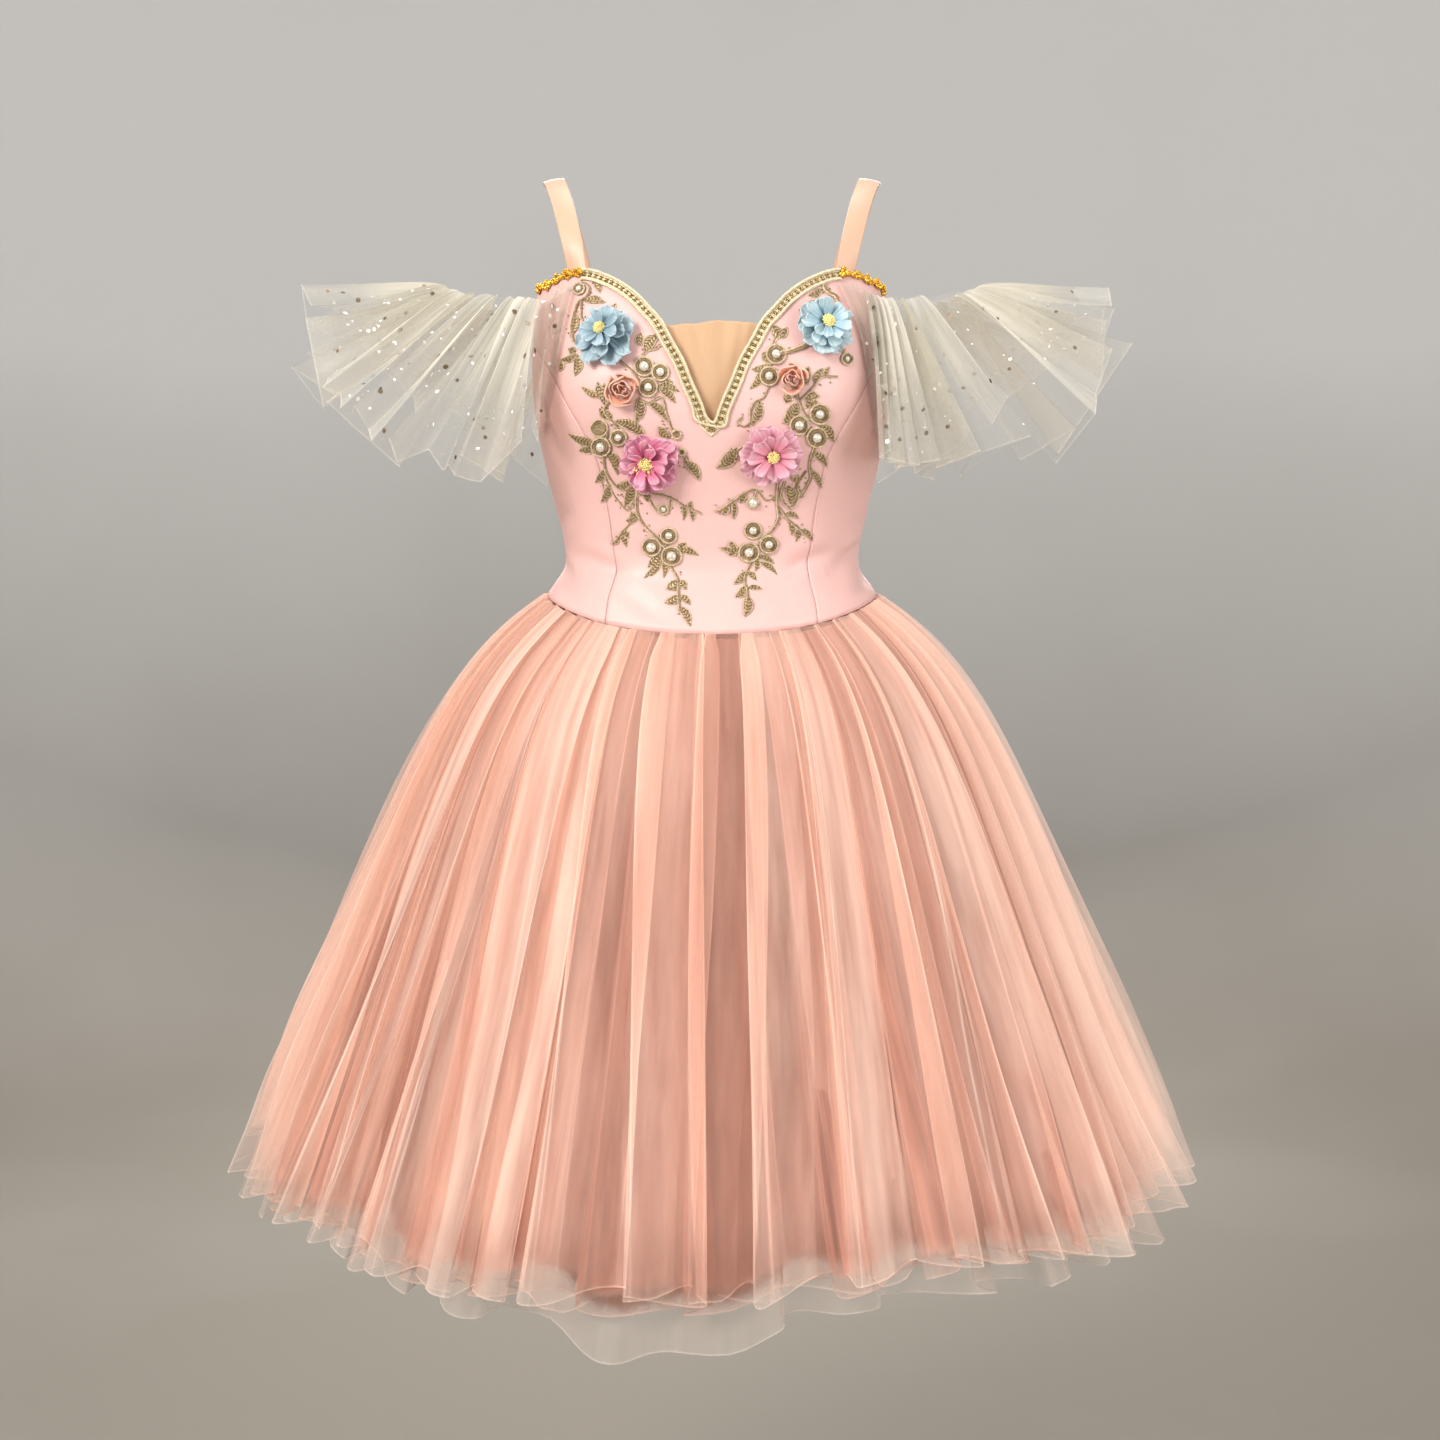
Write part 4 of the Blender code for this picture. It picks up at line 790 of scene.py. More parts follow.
def makePlacket():
    u, v = np.meshgrid(np.linspace(-1, 1, 17), np.linspace(0, 1, 60))
    turn = 180 + u * (math.degrees(placket["width"] / 2 / placket["formRadius"]) * placket["shown"])
    low, high = seamHeight(180), topHeight(180)
    height = low + (high - low) * v
    lift = satinLift(turn, height) + bodice["thickness"] + seamGap
    lift = lift + placket["crown"] * (1 - np.abs(u) ** placket["squareness"])
    uv = np.stack([turn * arcPerDegree, height], axis=-1)
    points = onBody(turn, height, lift)
    thickness = placket["thickness"]
    piece = gridPiece("back_placket_satin", points, uv, satin, "satin", ("back_placket",), thickness)
    declareCloth(piece)


def makeSeamStitches():
    # Small stitches along the seams, the waist and the top edge of the back
    bundle, lines = Bundle(), []
    share = np.linspace(0.02, 0.98, 60)
    for side in (-1, 1):
        turn, height = frontSeam(share)
        lines.append((side * (turn + stitchLines["fromSeam"]), height))
        for seamTurn in (sideTurn - stitchLines["fromSeam"], backSeamTurn + stitchLines["fromSeam"]):
            low, high = seamHeight(seamTurn), topHeight(seamTurn)
            lines.append((np.full(60, side * seamTurn), low + (high - low) * share))
        turn = np.linspace(84, 176, 80)
        lines.append((side * turn, topHeight(turn) - stitchLines["belowTop"]))
    turn = np.linspace(-179, 179, 260)
    lines.append((turn, seamHeight(turn) + stitchLines["overWaist"]))
    points = stitches["points"]
    for turn, height in lines:
        path = smoothPath(onBody(turn, height, satinLift(turn, height)), stitches["step"])
        normals = unit(path * (1, 1, 0))
        for first in range(0, len(path) - points, stitches["every"]):
            stitch, up = path[first:first + points].copy(), normals[first:first + points]
            stitch += up * np.array(stitches["arch"])[:, None]
            bundle.add(*tubeShape(stitch, up, stitches["radius"], 4))
    bundle.piece("bodice_stitches", satin, "satin")


makeBodice()
makePlacket()
makeSeamStitches()
print("bodice made")


# Skirt

skirt = {
    "depth": 0.92, "flareSlope": 0.450, "flareSwell": 0.056, "swellDrop": 0.045, "clothWidth": 3.2,
    "foldDrift": ((3, 0.035, 0.7), (7, 0.016, 2.1), (11, 0.008, 4.0)),
    "hemDrift": ((3, 0.005, 1.3), (5, 0.004, 0.2), (9, 0.003, 3.0)),  # waves, size, phase
    # the longest flap: its turn, its reach to each side in degrees and how far it hangs below the hem
    "flap": {"turn": -4.5, "reach": 10.0, "length": 0.026},
    # how far a pleat's edge is from a plain wave: nearer 1 is crisper
    "crisp": 0.985,
    # how unevenly the hem hangs: by fold, by pleat and by region
    "hemByFold": -0.0015, "hemByPleat": 0.0035, "hemByRegion": 0.004, "cutLength": 0.47,
}
pleats = {
    # cloth gathered at each fold, and rows closer together towards the waist
    "gather": 0.34, "rowsToWaist": 1.15,
    # which side pleats lie to, by region and by pleat, then how unevenly they tuck and where they stray
    "lean": (9.0, 2.4), "tuckVary": 0.45, "tuckLoose": 0.8, "stray": 0.4, "wanderShare": 0.8,
    # how the waves swell, lose their edges towards the hem and billow there
    "swell": 0.50, "looseFrom": 0.60, "flatness": 1.7, "billowFrom": 0.35, "billow": 0.25,
    # pleats drawn in at the seam, and how far down they come free
    "drawn": (0.82, 0.18), "drawnTo": 0.04,
}
# One row for each layer of net. lower, hem, sideRise, inset and wave are near the solids'. The rest shapes
# the pleats: tuck is how many radians of cloth each folds under itself, at the waist and at the hem, wander
# and bunch are how far it strays, and flap is the layer's share of the longest flap
skirtColumns = (
    "name", "node", "material", "folds", "perFold", "rows", "seed", "lower", "hem", "sideRise", "inset",
    "insetHem", "wave", "waveHem", "shift", "tuck", "tuckHem", "wander", "bunch", "flap",
)
skirtLayers = [dict(zip(skirtColumns, row)) for row in (
    ("over", "over", overNet, 40, 28, 50, 21, -0.0030, -0.776, 0.0115, -0.0042, 0.016,
     0.0020, 0.0165, 0.0, 2.8, 1.2, 3.8, 3.2, 0.15),
    ("second", "over", secondNet, 44, 24, 46, 34, -0.0026, -0.781, 0.0115, -0.0030, 0.029,
     0.0018, 0.0115, 2.2, 2.6, 1.1, 3.4, 2.8, 0.25),
    ("middle", "middle", middleNet, 32, 26, 42, 47, 0.001, -0.785, 0.0120, 0.0010, 0.044,
     0.0016, 0.0115, 0.5, 2.2, 1.3, 2.4, 1.6, 0.6),
    ("under", "under", underNet, 26, 26, 40, 58, 0.004, -0.803, 0.0160, 0.0060, 0.062,
     0.0014, 0.0110, 1.1, 1.6, 1.0, 1.6, 1.0, 1.0),
)]


def flare(drop):
    return skirt["flareSlope"] * drop + skirt["flareSwell"] * (1 - np.exp(-drop / skirt["swellDrop"]))


def drift(rows, base):
    return sum(size * np.sin(waves * base + phase) for waves, size, phase in rows)


def skirtPoint(layer, base, share, out, hemShift):
    # A point of a layer: base runs round it in radians, share down it, and out stands off its slope
    angle = base + drift(skirt["foldDrift"], base)
    turn = (np.degrees(angle) + 180) % 360 - 180
    top = seamHeight(turn) - seamGap - 1.6 * netWall - layer["lower"]
    hem = layer["hem"] - layer["sideRise"] * np.cos(2 * angle) + hemShift
    hem = hem + drift(skirt["hemDrift"], base)
    flap = skirt["flap"]
    hem = hem - layer["flap"] * flap["length"] * np.exp(-(((turn - flap["turn"]) / flap["reach"]) ** 4))
    drop = (top - hem) * share
    seam = formPoint(turn, top)
    inset = layer["inset"] + (layer["insetHem"] - layer["inset"]) * share**0.6
    reach = flare(drop) - inset + out
    x = seam[..., 0] + np.sin(angle) * reach
    y = seam[..., 1] - np.cos(angle) * skirt["depth"] * reach
    return np.stack([x, y, top - drop], axis=-1), top - hem


def pleatWave(phase):
    # A triangle wave with rounded edges
    return np.arcsin(skirt["crisp"] * np.cos(phase)) / math.asin(skirt["crisp"])


def makeSkirtLayer(layer):
    folds, rows, seed = layer["folds"], layer["rows"], layer["seed"]
    columns = folds * layer["perFold"]
    even = np.linspace(0, 2 * math.pi * folds, columns, endpoint=False)[None, :]
    phase = even - pleats["gather"] * np.sin(2 * even)
    share = (np.linspace(0, 1, rows) ** pleats["rowsToWaist"])[:, None]
    place = phase / (2 * math.pi) + 0 * share
    down = share * 4 + 0 * phase

    def uneven(step, stretch=1.0):
        return valueNoise(seed + step, (folds, 8), (place, down * stretch), wraps=True)

    def regional(step, count, stretch=0.5):
        return valueNoise(seed + step, (count, 4), (place * count / folds, down * stretch), wraps=True)

    # Pleats lie to one side over a stretch of the waist, then to the other; lower down they open and wander
    byRegion, byPleat = pleats["lean"]
    side = np.tanh(byRegion * regional(11, 7, 0.0) + byPleat * uneven(12, 0.0))
    tuck = layer["tuck"] + (layer["tuckHem"] - layer["tuck"]) * share
    tuck = tuck * side * (1 + pleats["tuckVary"] * uneven(3, 0.25))
    tuck = tuck + pleats["tuckLoose"] * uneven(13, 0.2) * share
    stray = pleats["stray"] * uneven(9, 0.25) * share * (1 - share)
    wander = layer["wander"] * (uneven(1, 0.0) * share**0.9 + stray)
    wander = wander + layer["bunch"] * regional(14, 13, 0.12) * share**0.7
    swell = 1 + pleats["swell"] * uneven(4, 0.7)
    wave = (layer["wave"] + (layer["waveHem"] - layer["wave"]) * share**0.9) * swell
    loose = smoothStep(pleats["looseFrom"], 1.0, share)
    shape = (1 - loose) * pleatWave(phase) + loose * np.cos(phase)
    flatTop = np.tanh(pleats["flatness"] * np.cos(phase))
    out = wave * ((1 - loose) * shape + loose * flatTop / math.tanh(pleats["flatness"]))
    billow = np.clip(uneven(6), 0, 1) * smoothStep(pleats["billowFrom"], 0.9, share)
    out = out + pleats["billow"] * wave * billow * np.cos(3 * phase + 4 * uneven(7, 0.4))
    atSeam, freed = pleats["drawn"]
    drawn = atSeam + freed * smoothStep(0.0, pleats["drawnTo"], share)
    base = (phase + layer["shift"] + drawn * tuck * shape + pleats["wanderShare"] * wander) / folds
    hemShift = skirt["hemByFold"] * shape + skirt["hemByPleat"] * uneven(8, 0.0)
    hemShift = hemShift + skirt["hemByRegion"] * regional(15, 17)
    points, length = skirtPoint(layer, base, share, out, hemShift)
    along = phase / (2 * math.pi * folds) * skirt["clothWidth"]
    uv = np.stack([along + 0 * share, length * (1 - share)], axis=-1)
    piece = gridPiece(f"skirt_{layer['name']}_net", points, uv, layer["material"], "peach_net",
                      (f"skirt_{layer['node']}",), wraps=True, flip=True)
    declareCloth(piece)


for layer in skirtLayers:
    makeSkirtLayer(layer)
print("skirt made")


# Sleeves

sleeveRows = {
    "along": (0.00, 0.12, 0.24, 0.36, 0.46, 0.54, 0.64, 0.76, 0.88, 1.00),
    "x": (0.1140, 0.1290, 0.1460, 0.1720, 0.1970, 0.2060, 0.1980, 0.1740, 0.1480, 0.1210),
    "y": (-0.0710, -0.0610, -0.0545, -0.0480, -0.0300, -0.0040, 0.0280, 0.0540, 0.0680, 0.0740),
    "z": (-0.0875, -0.0930, -0.0930, -0.0905, -0.0875, -0.0845, -0.0865, -0.0940, -0.1080, -0.1320),
    "fallX": (0.10, 0.22, 0.36, 0.59, 0.82, 0.99, 0.82, 0.52, 0.32, 0.16),
    "fallY": (-0.34, -0.44, -0.54, -0.48, -0.40, 0.00, 0.54, 0.72, 0.66, 0.48),
    "fallZ": (-0.93, -0.87, -0.76, -0.65, -0.42, -0.04, -0.10, -0.42, -0.68, -0.86),
    "length": (0.134, 0.136, 0.134, 0.145, 0.129, 0.108, 0.116, 0.128, 0.130, 0.122),
}
# Folds of the upper frill, an outer one and an inner one by turns: where along the head, where along the
# hem, reach as a share of the length, and millimetres out from the frill's own line at the hem
sleeveFolds = {
    "left": (
        (0.00, 0.00, 1.04, 2), (0.02, 0.03, 1.00, -8), (0.05, 0.01, 0.98, 6), (0.06, 0.00, 1.00, -4),
        (0.09, 0.04, 1.06, 8), (0.10, 0.02, 1.02, -6), (0.13, 0.08, 1.08, 8), (0.13, 0.05, 1.05, -5),
        (0.18, 0.13, 1.09, 11), (0.18, 0.09, 1.04, -6), (0.23, 0.22, 1.18, 12), (0.24, 0.15, 1.08, -8),
        (0.31, 0.30, 1.14, 13), (0.32, 0.32, 1.26, -2), (0.42, 0.38, 1.14, 12), (0.43, 0.42, 1.03, -4),
        (0.49, 0.455, 0.98, 12), (0.48, 0.44, 0.93, -6), (0.52, 0.50, 0.94, 10), (0.51, 0.49, 0.88, -8),
        (0.56, 0.59, 1.10, 10), (0.57, 0.55, 1.02, -8), (0.62, 0.66, 1.04, 10), (0.62, 0.62, 0.98, -8),
        (0.67, 0.71, 1.10, 11), (0.68, 0.68, 1.02, -7), (0.72, 0.77, 1.00, 10), (0.73, 0.74, 1.06, -8),
        (0.78, 0.82, 1.10, 11), (0.79, 0.79, 1.00, -6), (0.84, 0.87, 1.02, 10), (0.85, 0.84, 1.08, -6),
        (0.89, 0.91, 1.06, 9), (0.91, 0.89, 1.00, -6), (0.95, 0.96, 1.04, 8), (0.97, 0.94, 0.98, -4),
        (1.00, 1.00, 1.00, 2),
    ),
    "right": (
        (0.00, 0.00, 0.93, 4), (0.04, 0.06, 0.80, -6), (0.10, 0.05, 0.92, 4), (0.12, 0.15, 1.18, -6),
        (0.20, 0.19, 1.25, 4), (0.20, 0.22, 1.18, -6), (0.25, 0.21, 1.27, 6), (0.25, 0.26, 1.12, -4),
        (0.28, 0.28, 1.28, 6), (0.29, 0.32, 1.06, -3), (0.32, 0.325, 1.15, 6), (0.33, 0.35, 1.04, -4),
        (0.36, 0.37, 1.00, 8), (0.36, 0.385, 1.00, -6), (0.40, 0.385, 1.05, 4), (0.41, 0.41, 0.97, -4),
        (0.45, 0.415, 1.04, 6), (0.45, 0.44, 0.93, -6), (0.49, 0.455, 1.01, 10), (0.49, 0.47, 0.88, -8),
        (0.52, 0.49, 0.76, 12), (0.53, 0.50, 0.98, -6), (0.56, 0.575, 1.16, 10), (0.58, 0.56, 1.05, -8),
        (0.63, 0.65, 1.08, 9), (0.64, 0.62, 1.00, -8), (0.68, 0.71, 1.03, 11), (0.69, 0.68, 1.07, -7),
        (0.74, 0.77, 1.12, 10), (0.75, 0.74, 1.00, -7), (0.79, 0.83, 1.04, 11), (0.81, 0.80, 1.02, -6),
        (0.86, 0.88, 1.10, 9), (0.87, 0.85, 1.00, -6), (0.92, 0.93, 1.05, 9), (0.93, 0.91, 0.98, -5),
        (1.00, 1.00, 1.02, 2),
    ),
}
frills = (
    {"name": "over", "material": ivoryNet, "inset": 0.0, "spread": 0.0, "puff": 0.007, "bulge": 0.0030,
     "seed": 71},
    {"name": "under", "material": ivoryUnderNet, "inset": 0.0042, "spread": 0.019, "puff": 0.004,
     "bulge": 0.0040, "folds": 9, "start": 0.15, "end": 0.93, "reach": (0.98, 1.16), "seed": 83},
)
# The upper frill's front edge laps over the bodice: x, height and lift down that edge and its first fold
sleeveLaps = {
    "left": (
        ((0.094, 0.107, 0.113, 0.119, 0.1255), (-0.0860, -0.1180, -0.1480, -0.1800, -0.2080), 0.0036),
        ((0.105, 0.1155, 0.120, 0.125, 0.1290), (-0.0850, -0.1180, -0.1480, -0.1800, -0.2140), 0.0085),
    ),
    "right": (
        ((0.101, 0.107, 0.112, 0.119, 0.1250), (-0.0860, -0.1140, -0.1420, -0.1700, -0.1960), 0.0036),
        ((0.108, 0.1145, 0.120, 0.125, 0.1285), (-0.0850, -0.1140, -0.1420, -0.1700, -0.1900), 0.0090),
    ),
}
sleeve = {"headGap": 0.0020, "sag": 0.003, "foldWidth": 0.035, "clothLength": 0.135, "cutLength": 0.13}
panelSteps = (0.0, 0.04, 0.16, 0.38, 0.62, 0.84, 0.96)


def sleeveColumn(label, along):
    return smoothCurve(sleeveRows["along"], sleeveRows[label], along)


def sleeveFrame(along):
    along = np.clip(along, 0, 1)
    def place(at, labels=("x", "y", "z")):
        return np.stack([sleeveColumn(label, at) for label in labels], axis=-1)

    fall = unit(place(along, ("fallX", "fallY", "fallZ")))
    run = place(np.minimum(along + 0.01, 1)) - place(np.maximum(along - 0.01, 0))
    return place(along), fall, unit(np.cross(run, -fall))


def frillFolds(frill, label):
    # The lower frill's folds are spread at random; the upper one's are listed
    if frill["name"] == "over":
        return sleeveFolds[label]
    random = np.random.default_rng(frill["seed"] + len(label))
    folds, width = [], frill["end"] - frill["start"]
    for i in range(frill["folds"] + 1):
        head = frill["start"] + width * i / frill["folds"]
        hem = head + width * random.uniform(-0.25, 0.25) / frill["folds"]
        folds.append((head, hem, random.uniform(*frill["reach"]), random.uniform(6, 11)))
        if i < frill["folds"]:
            inner = hem + width * random.uniform(-0.45, 0.35) / frill["folds"]
            reach = random.uniform(*frill["reach"]) * 0.97
            folds.append((head + 0.02, inner, reach, random.uniform(-9, -4)))
    return folds


def frillSurface(frill, label, rows=30):
    # Flat panels between straight folds, each panel bellied a little
    random = np.random.default_rng(frill["seed"] + 3 * len(label))
    down = np.linspace(0, 1, rows)[:, None]
    lines = []
    for headAlong, hemAlong, reach, out in frillFolds(frill, label):
        head, _, headNormal = sleeveFrame(np.array(headAlong))
        hemHead, fall, normal = sleeveFrame(np.array(hemAlong))
        start = head + headNormal * (sleeve["headGap"] * np.sign(out) - frill["inset"])
        hem = hemHead + fall * sleeveColumn("length", hemAlong) * reach
        hem = hem + normal * (out / 1000 - frill["inset"] - frill["spread"])
        puff = frill["puff"] * (1 if out > 0 else 0.3) * np.sin(math.pi * down**0.55)
        lines.append((start + (hem - start) * down + headNormal * puff, normal))
    laps = []
    for x, height, lift in sleeveLaps[label] if frill["name"] == "over" else ():
        steps = np.linspace(0, 1, len(x))
        x, height = smoothCurve(steps, x, down[:, 0]), smoothCurve(steps, height, down[:, 0])
        laps.append((onFront(x, height, satinWall + lift), frontNormal(x[rows // 2], height[rows // 2])))
    lines = laps + lines
    columns, across = [], []
    for i, ((near, nearNormal), (far, farNormal)) in enumerate(zip(lines[:-1], lines[1:])):
        belly = frill["bulge"] * random.uniform(-1, 1.3) * (i >= len(laps))
        twist = random.uniform(-0.5, 0.5)
        for step in panelSteps:
            normal = nearNormal * (1 - step) + farNormal * step
            soft = belly * math.sin(math.pi * step) * np.sin(math.pi * (0.15 + 0.7 * down))
            if 0.2 < step < 0.8:
                soft = soft + 0.5 * belly * np.sin(2 * math.pi * (step + twist * down)) * down
            columns.append(near * (1 - step) + far * step + normal * soft)
            across.append(i + step)
    columns.append(lines[-1][0])
    across.append(len(lines) - 1)
    points = np.stack(columns, axis=1)
    points[:, len(laps) * len(panelSteps):, 2] -= sleeve["sag"] * np.sin(math.pi * down)
    if label == "right":
        points = points[:, ::-1] * (-1, 1, 1)
        across = across[::-1]
    across = np.array(across)[None] * sleeve["foldWidth"]
    return points, np.stack(np.broadcast_arrays(across, sleeve["clothLength"] * (1 - down)), axis=-1)


def makeSleeves():
    upper = {}
    for label in ("left", "right"):
        for frill in frills:
            points, uv = frillSurface(frill, label)
            name = f"sleeve_{label}_{frill['name']}"
            piece = gridPiece(f"{name}_net", points, uv, frill["material"], "ivory_net", (name,), flip=True)
            declareCloth(piece)
            if frill["name"] == "over":
                upper[label] = points
    return upper


upperFrills = makeSleeves()
print("sleeves made")

glitter = {
    "flakes": 190, "flakeSize": (0.0008, 0.0022), "dots": 60, "dotSize": 0.0018, "lift": 0.0004, "seed": 5,
    "inks": ((0.160, 0.115, 0.080), (0.300, 0.210, 0.130)),
    "tilt": 0.35, "flakeStretch": (0.45, 1.0), "dotVary": (0.7, 1.2), "flakeCorners": 5, "dotCorners": 8,
}
flakeWhite = hardMaterial("glitterFlake", (1.0, 1.0, 0.98), (0.85, 0.86, 0.88), 0.22, coat=1.0)
dotInk = hardMaterial("sequinDot", *glitter["inks"], 0.3, metallic=0.5)


def makeGlitter():
    # Loose flakes and small dark sequins stuck on the sleeves' net
    for label in ("left", "right"):
        random = np.random.default_rng(glitter["seed"] + (label == "left"))
        points = upperFrills[label]
        for name, material in (("flakes", flakeWhite), ("dots", dotInk)):
            bundle = Bundle()
            for _ in range(glitter[name]):
                r = int(random.integers(2, points.shape[0] - 2))
                c = len(panelSteps) * int(random.integers(0, points.shape[1] // len(panelSteps))) + 2
                c = c + int(random.integers(0, 2))
                centre = points[r, c] + (points[r, c + 1] - points[r, c]) * random.uniform()
                across = unit(points[r, c + 1] - points[r, c])
                down = unit(points[r + 1, c] - points[r - 1, c])
                normal = unit(np.cross(down, across) + glitter["tilt"] * random.normal(size=3))
                if name == "flakes":
                    size, corners = random.uniform(*glitter["flakeSize"]), glitter["flakeCorners"]
                    stretch = random.uniform(*glitter["flakeStretch"])
                else:
                    size = glitter["dotSize"] * random.uniform(*glitter["dotVary"])
                    corners, stretch = glitter["dotCorners"], 1.0
                side = unit(np.cross(normal, random.normal(size=3)))
                other = np.cross(normal, side)
                a = np.arange(corners) * 2 * math.pi / corners
                rim = side * np.cos(a)[:, None] + other * np.sin(a)[:, None] * stretch
                middle = centre + normal * glitter["lift"]
                fan = [(0, 1 + i, 1 + (i + 1) % corners) for i in range(corners)]
                bundle.add(np.concatenate([[middle], middle + rim * size]), fan)
            bundle.piece(f"sleeve_{label}_{name}", material, "ivory_net")


makeGlitter()
print("glitter made")


# Straps, neck insert, braid and bead edging

strap = {
    "width": 0.0165, "thickness": 0.0011, "crown": 0.0009,
    "frontTucks": ((42.5, -0.0900), (42.5, -0.0740)), "backTucks": ((142.5, -0.1640), (142.5, -0.1800)),
    "behind": netWall + 0.0016, "selvedge": 0.00035, "within": (0.10, 0.0, -0.12),
    # x, y, z and how the strap's width leans in y and z
    "points": (
        (0.1055, -0.0590, -0.0520, 0.30, -0.08), (0.1130, -0.0440, -0.0240, 0.16, -0.14),
        (0.1200, -0.0220, -0.0060, 0.05, -0.18), (0.1235, 0.0000, -0.0014, 0.00, -0.19),
        (0.1210, 0.0240, -0.0070, -0.06, -0.18), (0.1150, 0.0460, -0.0280, -0.16, -0.14),
        (0.1060, 0.0630, -0.0620, -0.28, -0.08), (0.0970, 0.0710, -0.1100, -0.36, -0.03),
    ),
}


def tuckEdges(turn, height):
    # Where the strap's two edges pass behind the satin
    middle = formPoint(turn, height)
    around = unit(formPoint(turn + 1, height) - middle) * np.sign(sideTurn - turn)
    inwards = formNormal(turn, height) * -strap["behind"]
    return middle - around * strap["width"] / 2 + inwards, middle + around * strap["width"] / 2 + inwards


def makeStraps():
    edges = [tuckEdges(*tuck) for tuck in strap["frontTucks"]]
    for x, y, z, leanY, leanZ in strap["points"]:
        edge = unit(np.array((1.0, leanY, leanZ))) * strap["width"] / 2
        edges.append((np.array((x, y, z)) - edge, np.array((x, y, z)) + edge))
    edges += [tuckEdges(*tuck) for tuck in strap["backTucks"]]
    left, right = (smoothPath(line, count=12) for line in zip(*edges))
    middle = (left + right) / 2
    share = np.linspace(0, 1, 15)
    grid = left[:, None] * (1 - share)[None, :, None] + right[:, None] * share[None, :, None]
    normals = unit(np.cross(np.gradient(middle, axis=0), right - left))
    normals *= np.sign(np.sum(normals * (middle - strap["within"]), axis=1, keepdims=True))
    crown = strap["crown"] * (1 - (2 * share - 1) ** 2) + strap["selvedge"] * (np.abs(2 * share - 1) > 0.86)
    grid = grid + normals[:, None] * (crown[None, :, None] + netWall)
    distance = lengthAlong(middle)
    uv = np.stack(np.broadcast_arrays(share[None] * strap["width"], distance[:, None]), axis=-1)
    for side, label in ((1, "left"), (-1, "right")):
        points = grid if side > 0 else grid[:, ::-1] * (-1, 1, 1)
        piece = gridPiece(f"strap_{label}_ribbon", points, uv, ribbon, "strap_ribbon", (f"strap_{label}",),
                          strap["thickness"], flip=True)
        declareCloth(piece)


makeStraps()

insert = {
    "top": -0.1125, "bottom": -0.199, "tuck": 0.007, "behind": 0.0016, "thickness": 0.0008,
    "cutLength": 0.087, "wave": 0.0016, "ripple": 0.0003,
    # soft folds: x at the top, x at the bottom, width and depth
    "folds": (
        (-0.030, 0.000, 0.0060, 0.0024), (-0.012, 0.003, 0.0050, 0.0016), (0.010, 0.005, 0.0070, 0.0026),
        (0.024, 0.008, 0.0045, 0.0018), (0.034, 0.010, 0.0050, 0.0016), (-0.038, -0.008, 0.0040, 0.0014),
    ),
}
insertNet = satinMaterial("nudeNet", (0.580, 0.375, 0.225), (0.470, 0.285, 0.155), 5200.0, 0.6, 0.15)


def makeInsert():
    rows = zip(topEdge["turn"], topEdge["height"])
    turns = np.array([turn for turn, height in rows if turn < apexTurn and height <= insert["top"] + 0.001])
    heights = topHeight(turns)
    halves = formPoint(turns, heights)[:, 0]
    v, u = np.meshgrid(np.linspace(0, 1, 46), np.linspace(-1, 1, 61), indexing="ij")
    rise = insert["wave"] * np.sin(u * 4.0 + 0.6) + insert["ripple"] * np.sin(u * 11.0)
    height = insert["bottom"] + (insert["top"] - insert["bottom"]) * v + rise * smoothStep(0.5, 1.0, v)
    half = smoothCurve(heights, halves, height) + insert["tuck"]
    x = u * half
    lift = np.full(x.shape, -insert["behind"])
    for topX, bottomX, width, deep in insert["folds"]:
        middle = bottomX + (topX - bottomX) * v
        lift = lift - deep * (0.3 + 0.7 * v) * np.exp(-((x - middle) / width) ** 2)
    uv = np.stack([x, height], axis=-1)
    points = onFront(x, height, lift)
    thickness = insert["thickness"]
    piece = gridPiece("neck_insert_net", points, uv, insertNet, "nude_net", ("neck_insert",), thickness)
    declareCloth(piece)


makeInsert()

braid = {
    "inset": 0.0009, "width": 0.0078, "thickness": 0.0009, "lift": satinWall, "cord": 0.0013,
    "stone": 0.00088, "bead": 0.0006, "smallBead": 0.0004, "spacing": 0.0050, "bandLift": 0.0007,
    "cordStep": 0.0007, "cordLift": 0.0007, "twist": 0.0030, "cordsAt": (0.04, 0.96), "mitre": 1.55,
    # places of stones and beads: along, across and out of the braid
    "stoneAt": (0.00082, 0.00105, 0.0008), "beadLift": 0.0013, "smallBeadAt": (0.0013, 0.0006),
}


def braidBand():
    # A grid that runs along the neckline and down across the braid, mitred at the point of the V
    turn = np.concatenate([-np.linspace(apexTurn - 0.5, 0, 120), np.linspace(0, apexTurn - 0.5, 120)[1:]])
    height = topHeight(turn)
    x = formPoint(turn, height)[:, 0]
    dx, dz = np.gradient(x), np.gradient(height)
    length = np.hypot(dx, dz)
    rows, shares = [], np.linspace(0, 1, 7)
    for share in shares:
        offset = braid["inset"] * 0.3 + braid["width"] * share
        px, pz = x + dz / length * offset, height - dx / length * offset
        crossed = np.sign(px) != np.sign(turn)
        tip = topHeight(0.0) - offset * braid["mitre"]
        px, pz = np.where(crossed, 0.0, px), np.where(crossed, tip, np.maximum(pz, tip))
        rows.append(onFront(px, pz, braid["lift"] + braid["bandLift"]))
    uv = np.stack(np.broadcast_arrays(np.cumsum(length)[None], shares[:, None] * braid["width"]), axis=-1)
    return np.stack(rows), uv


def withoutRepeats(line):
    return line[np.concatenate([[True], np.linalg.norm(np.diff(line, axis=0), axis=1) > 1e-6])]


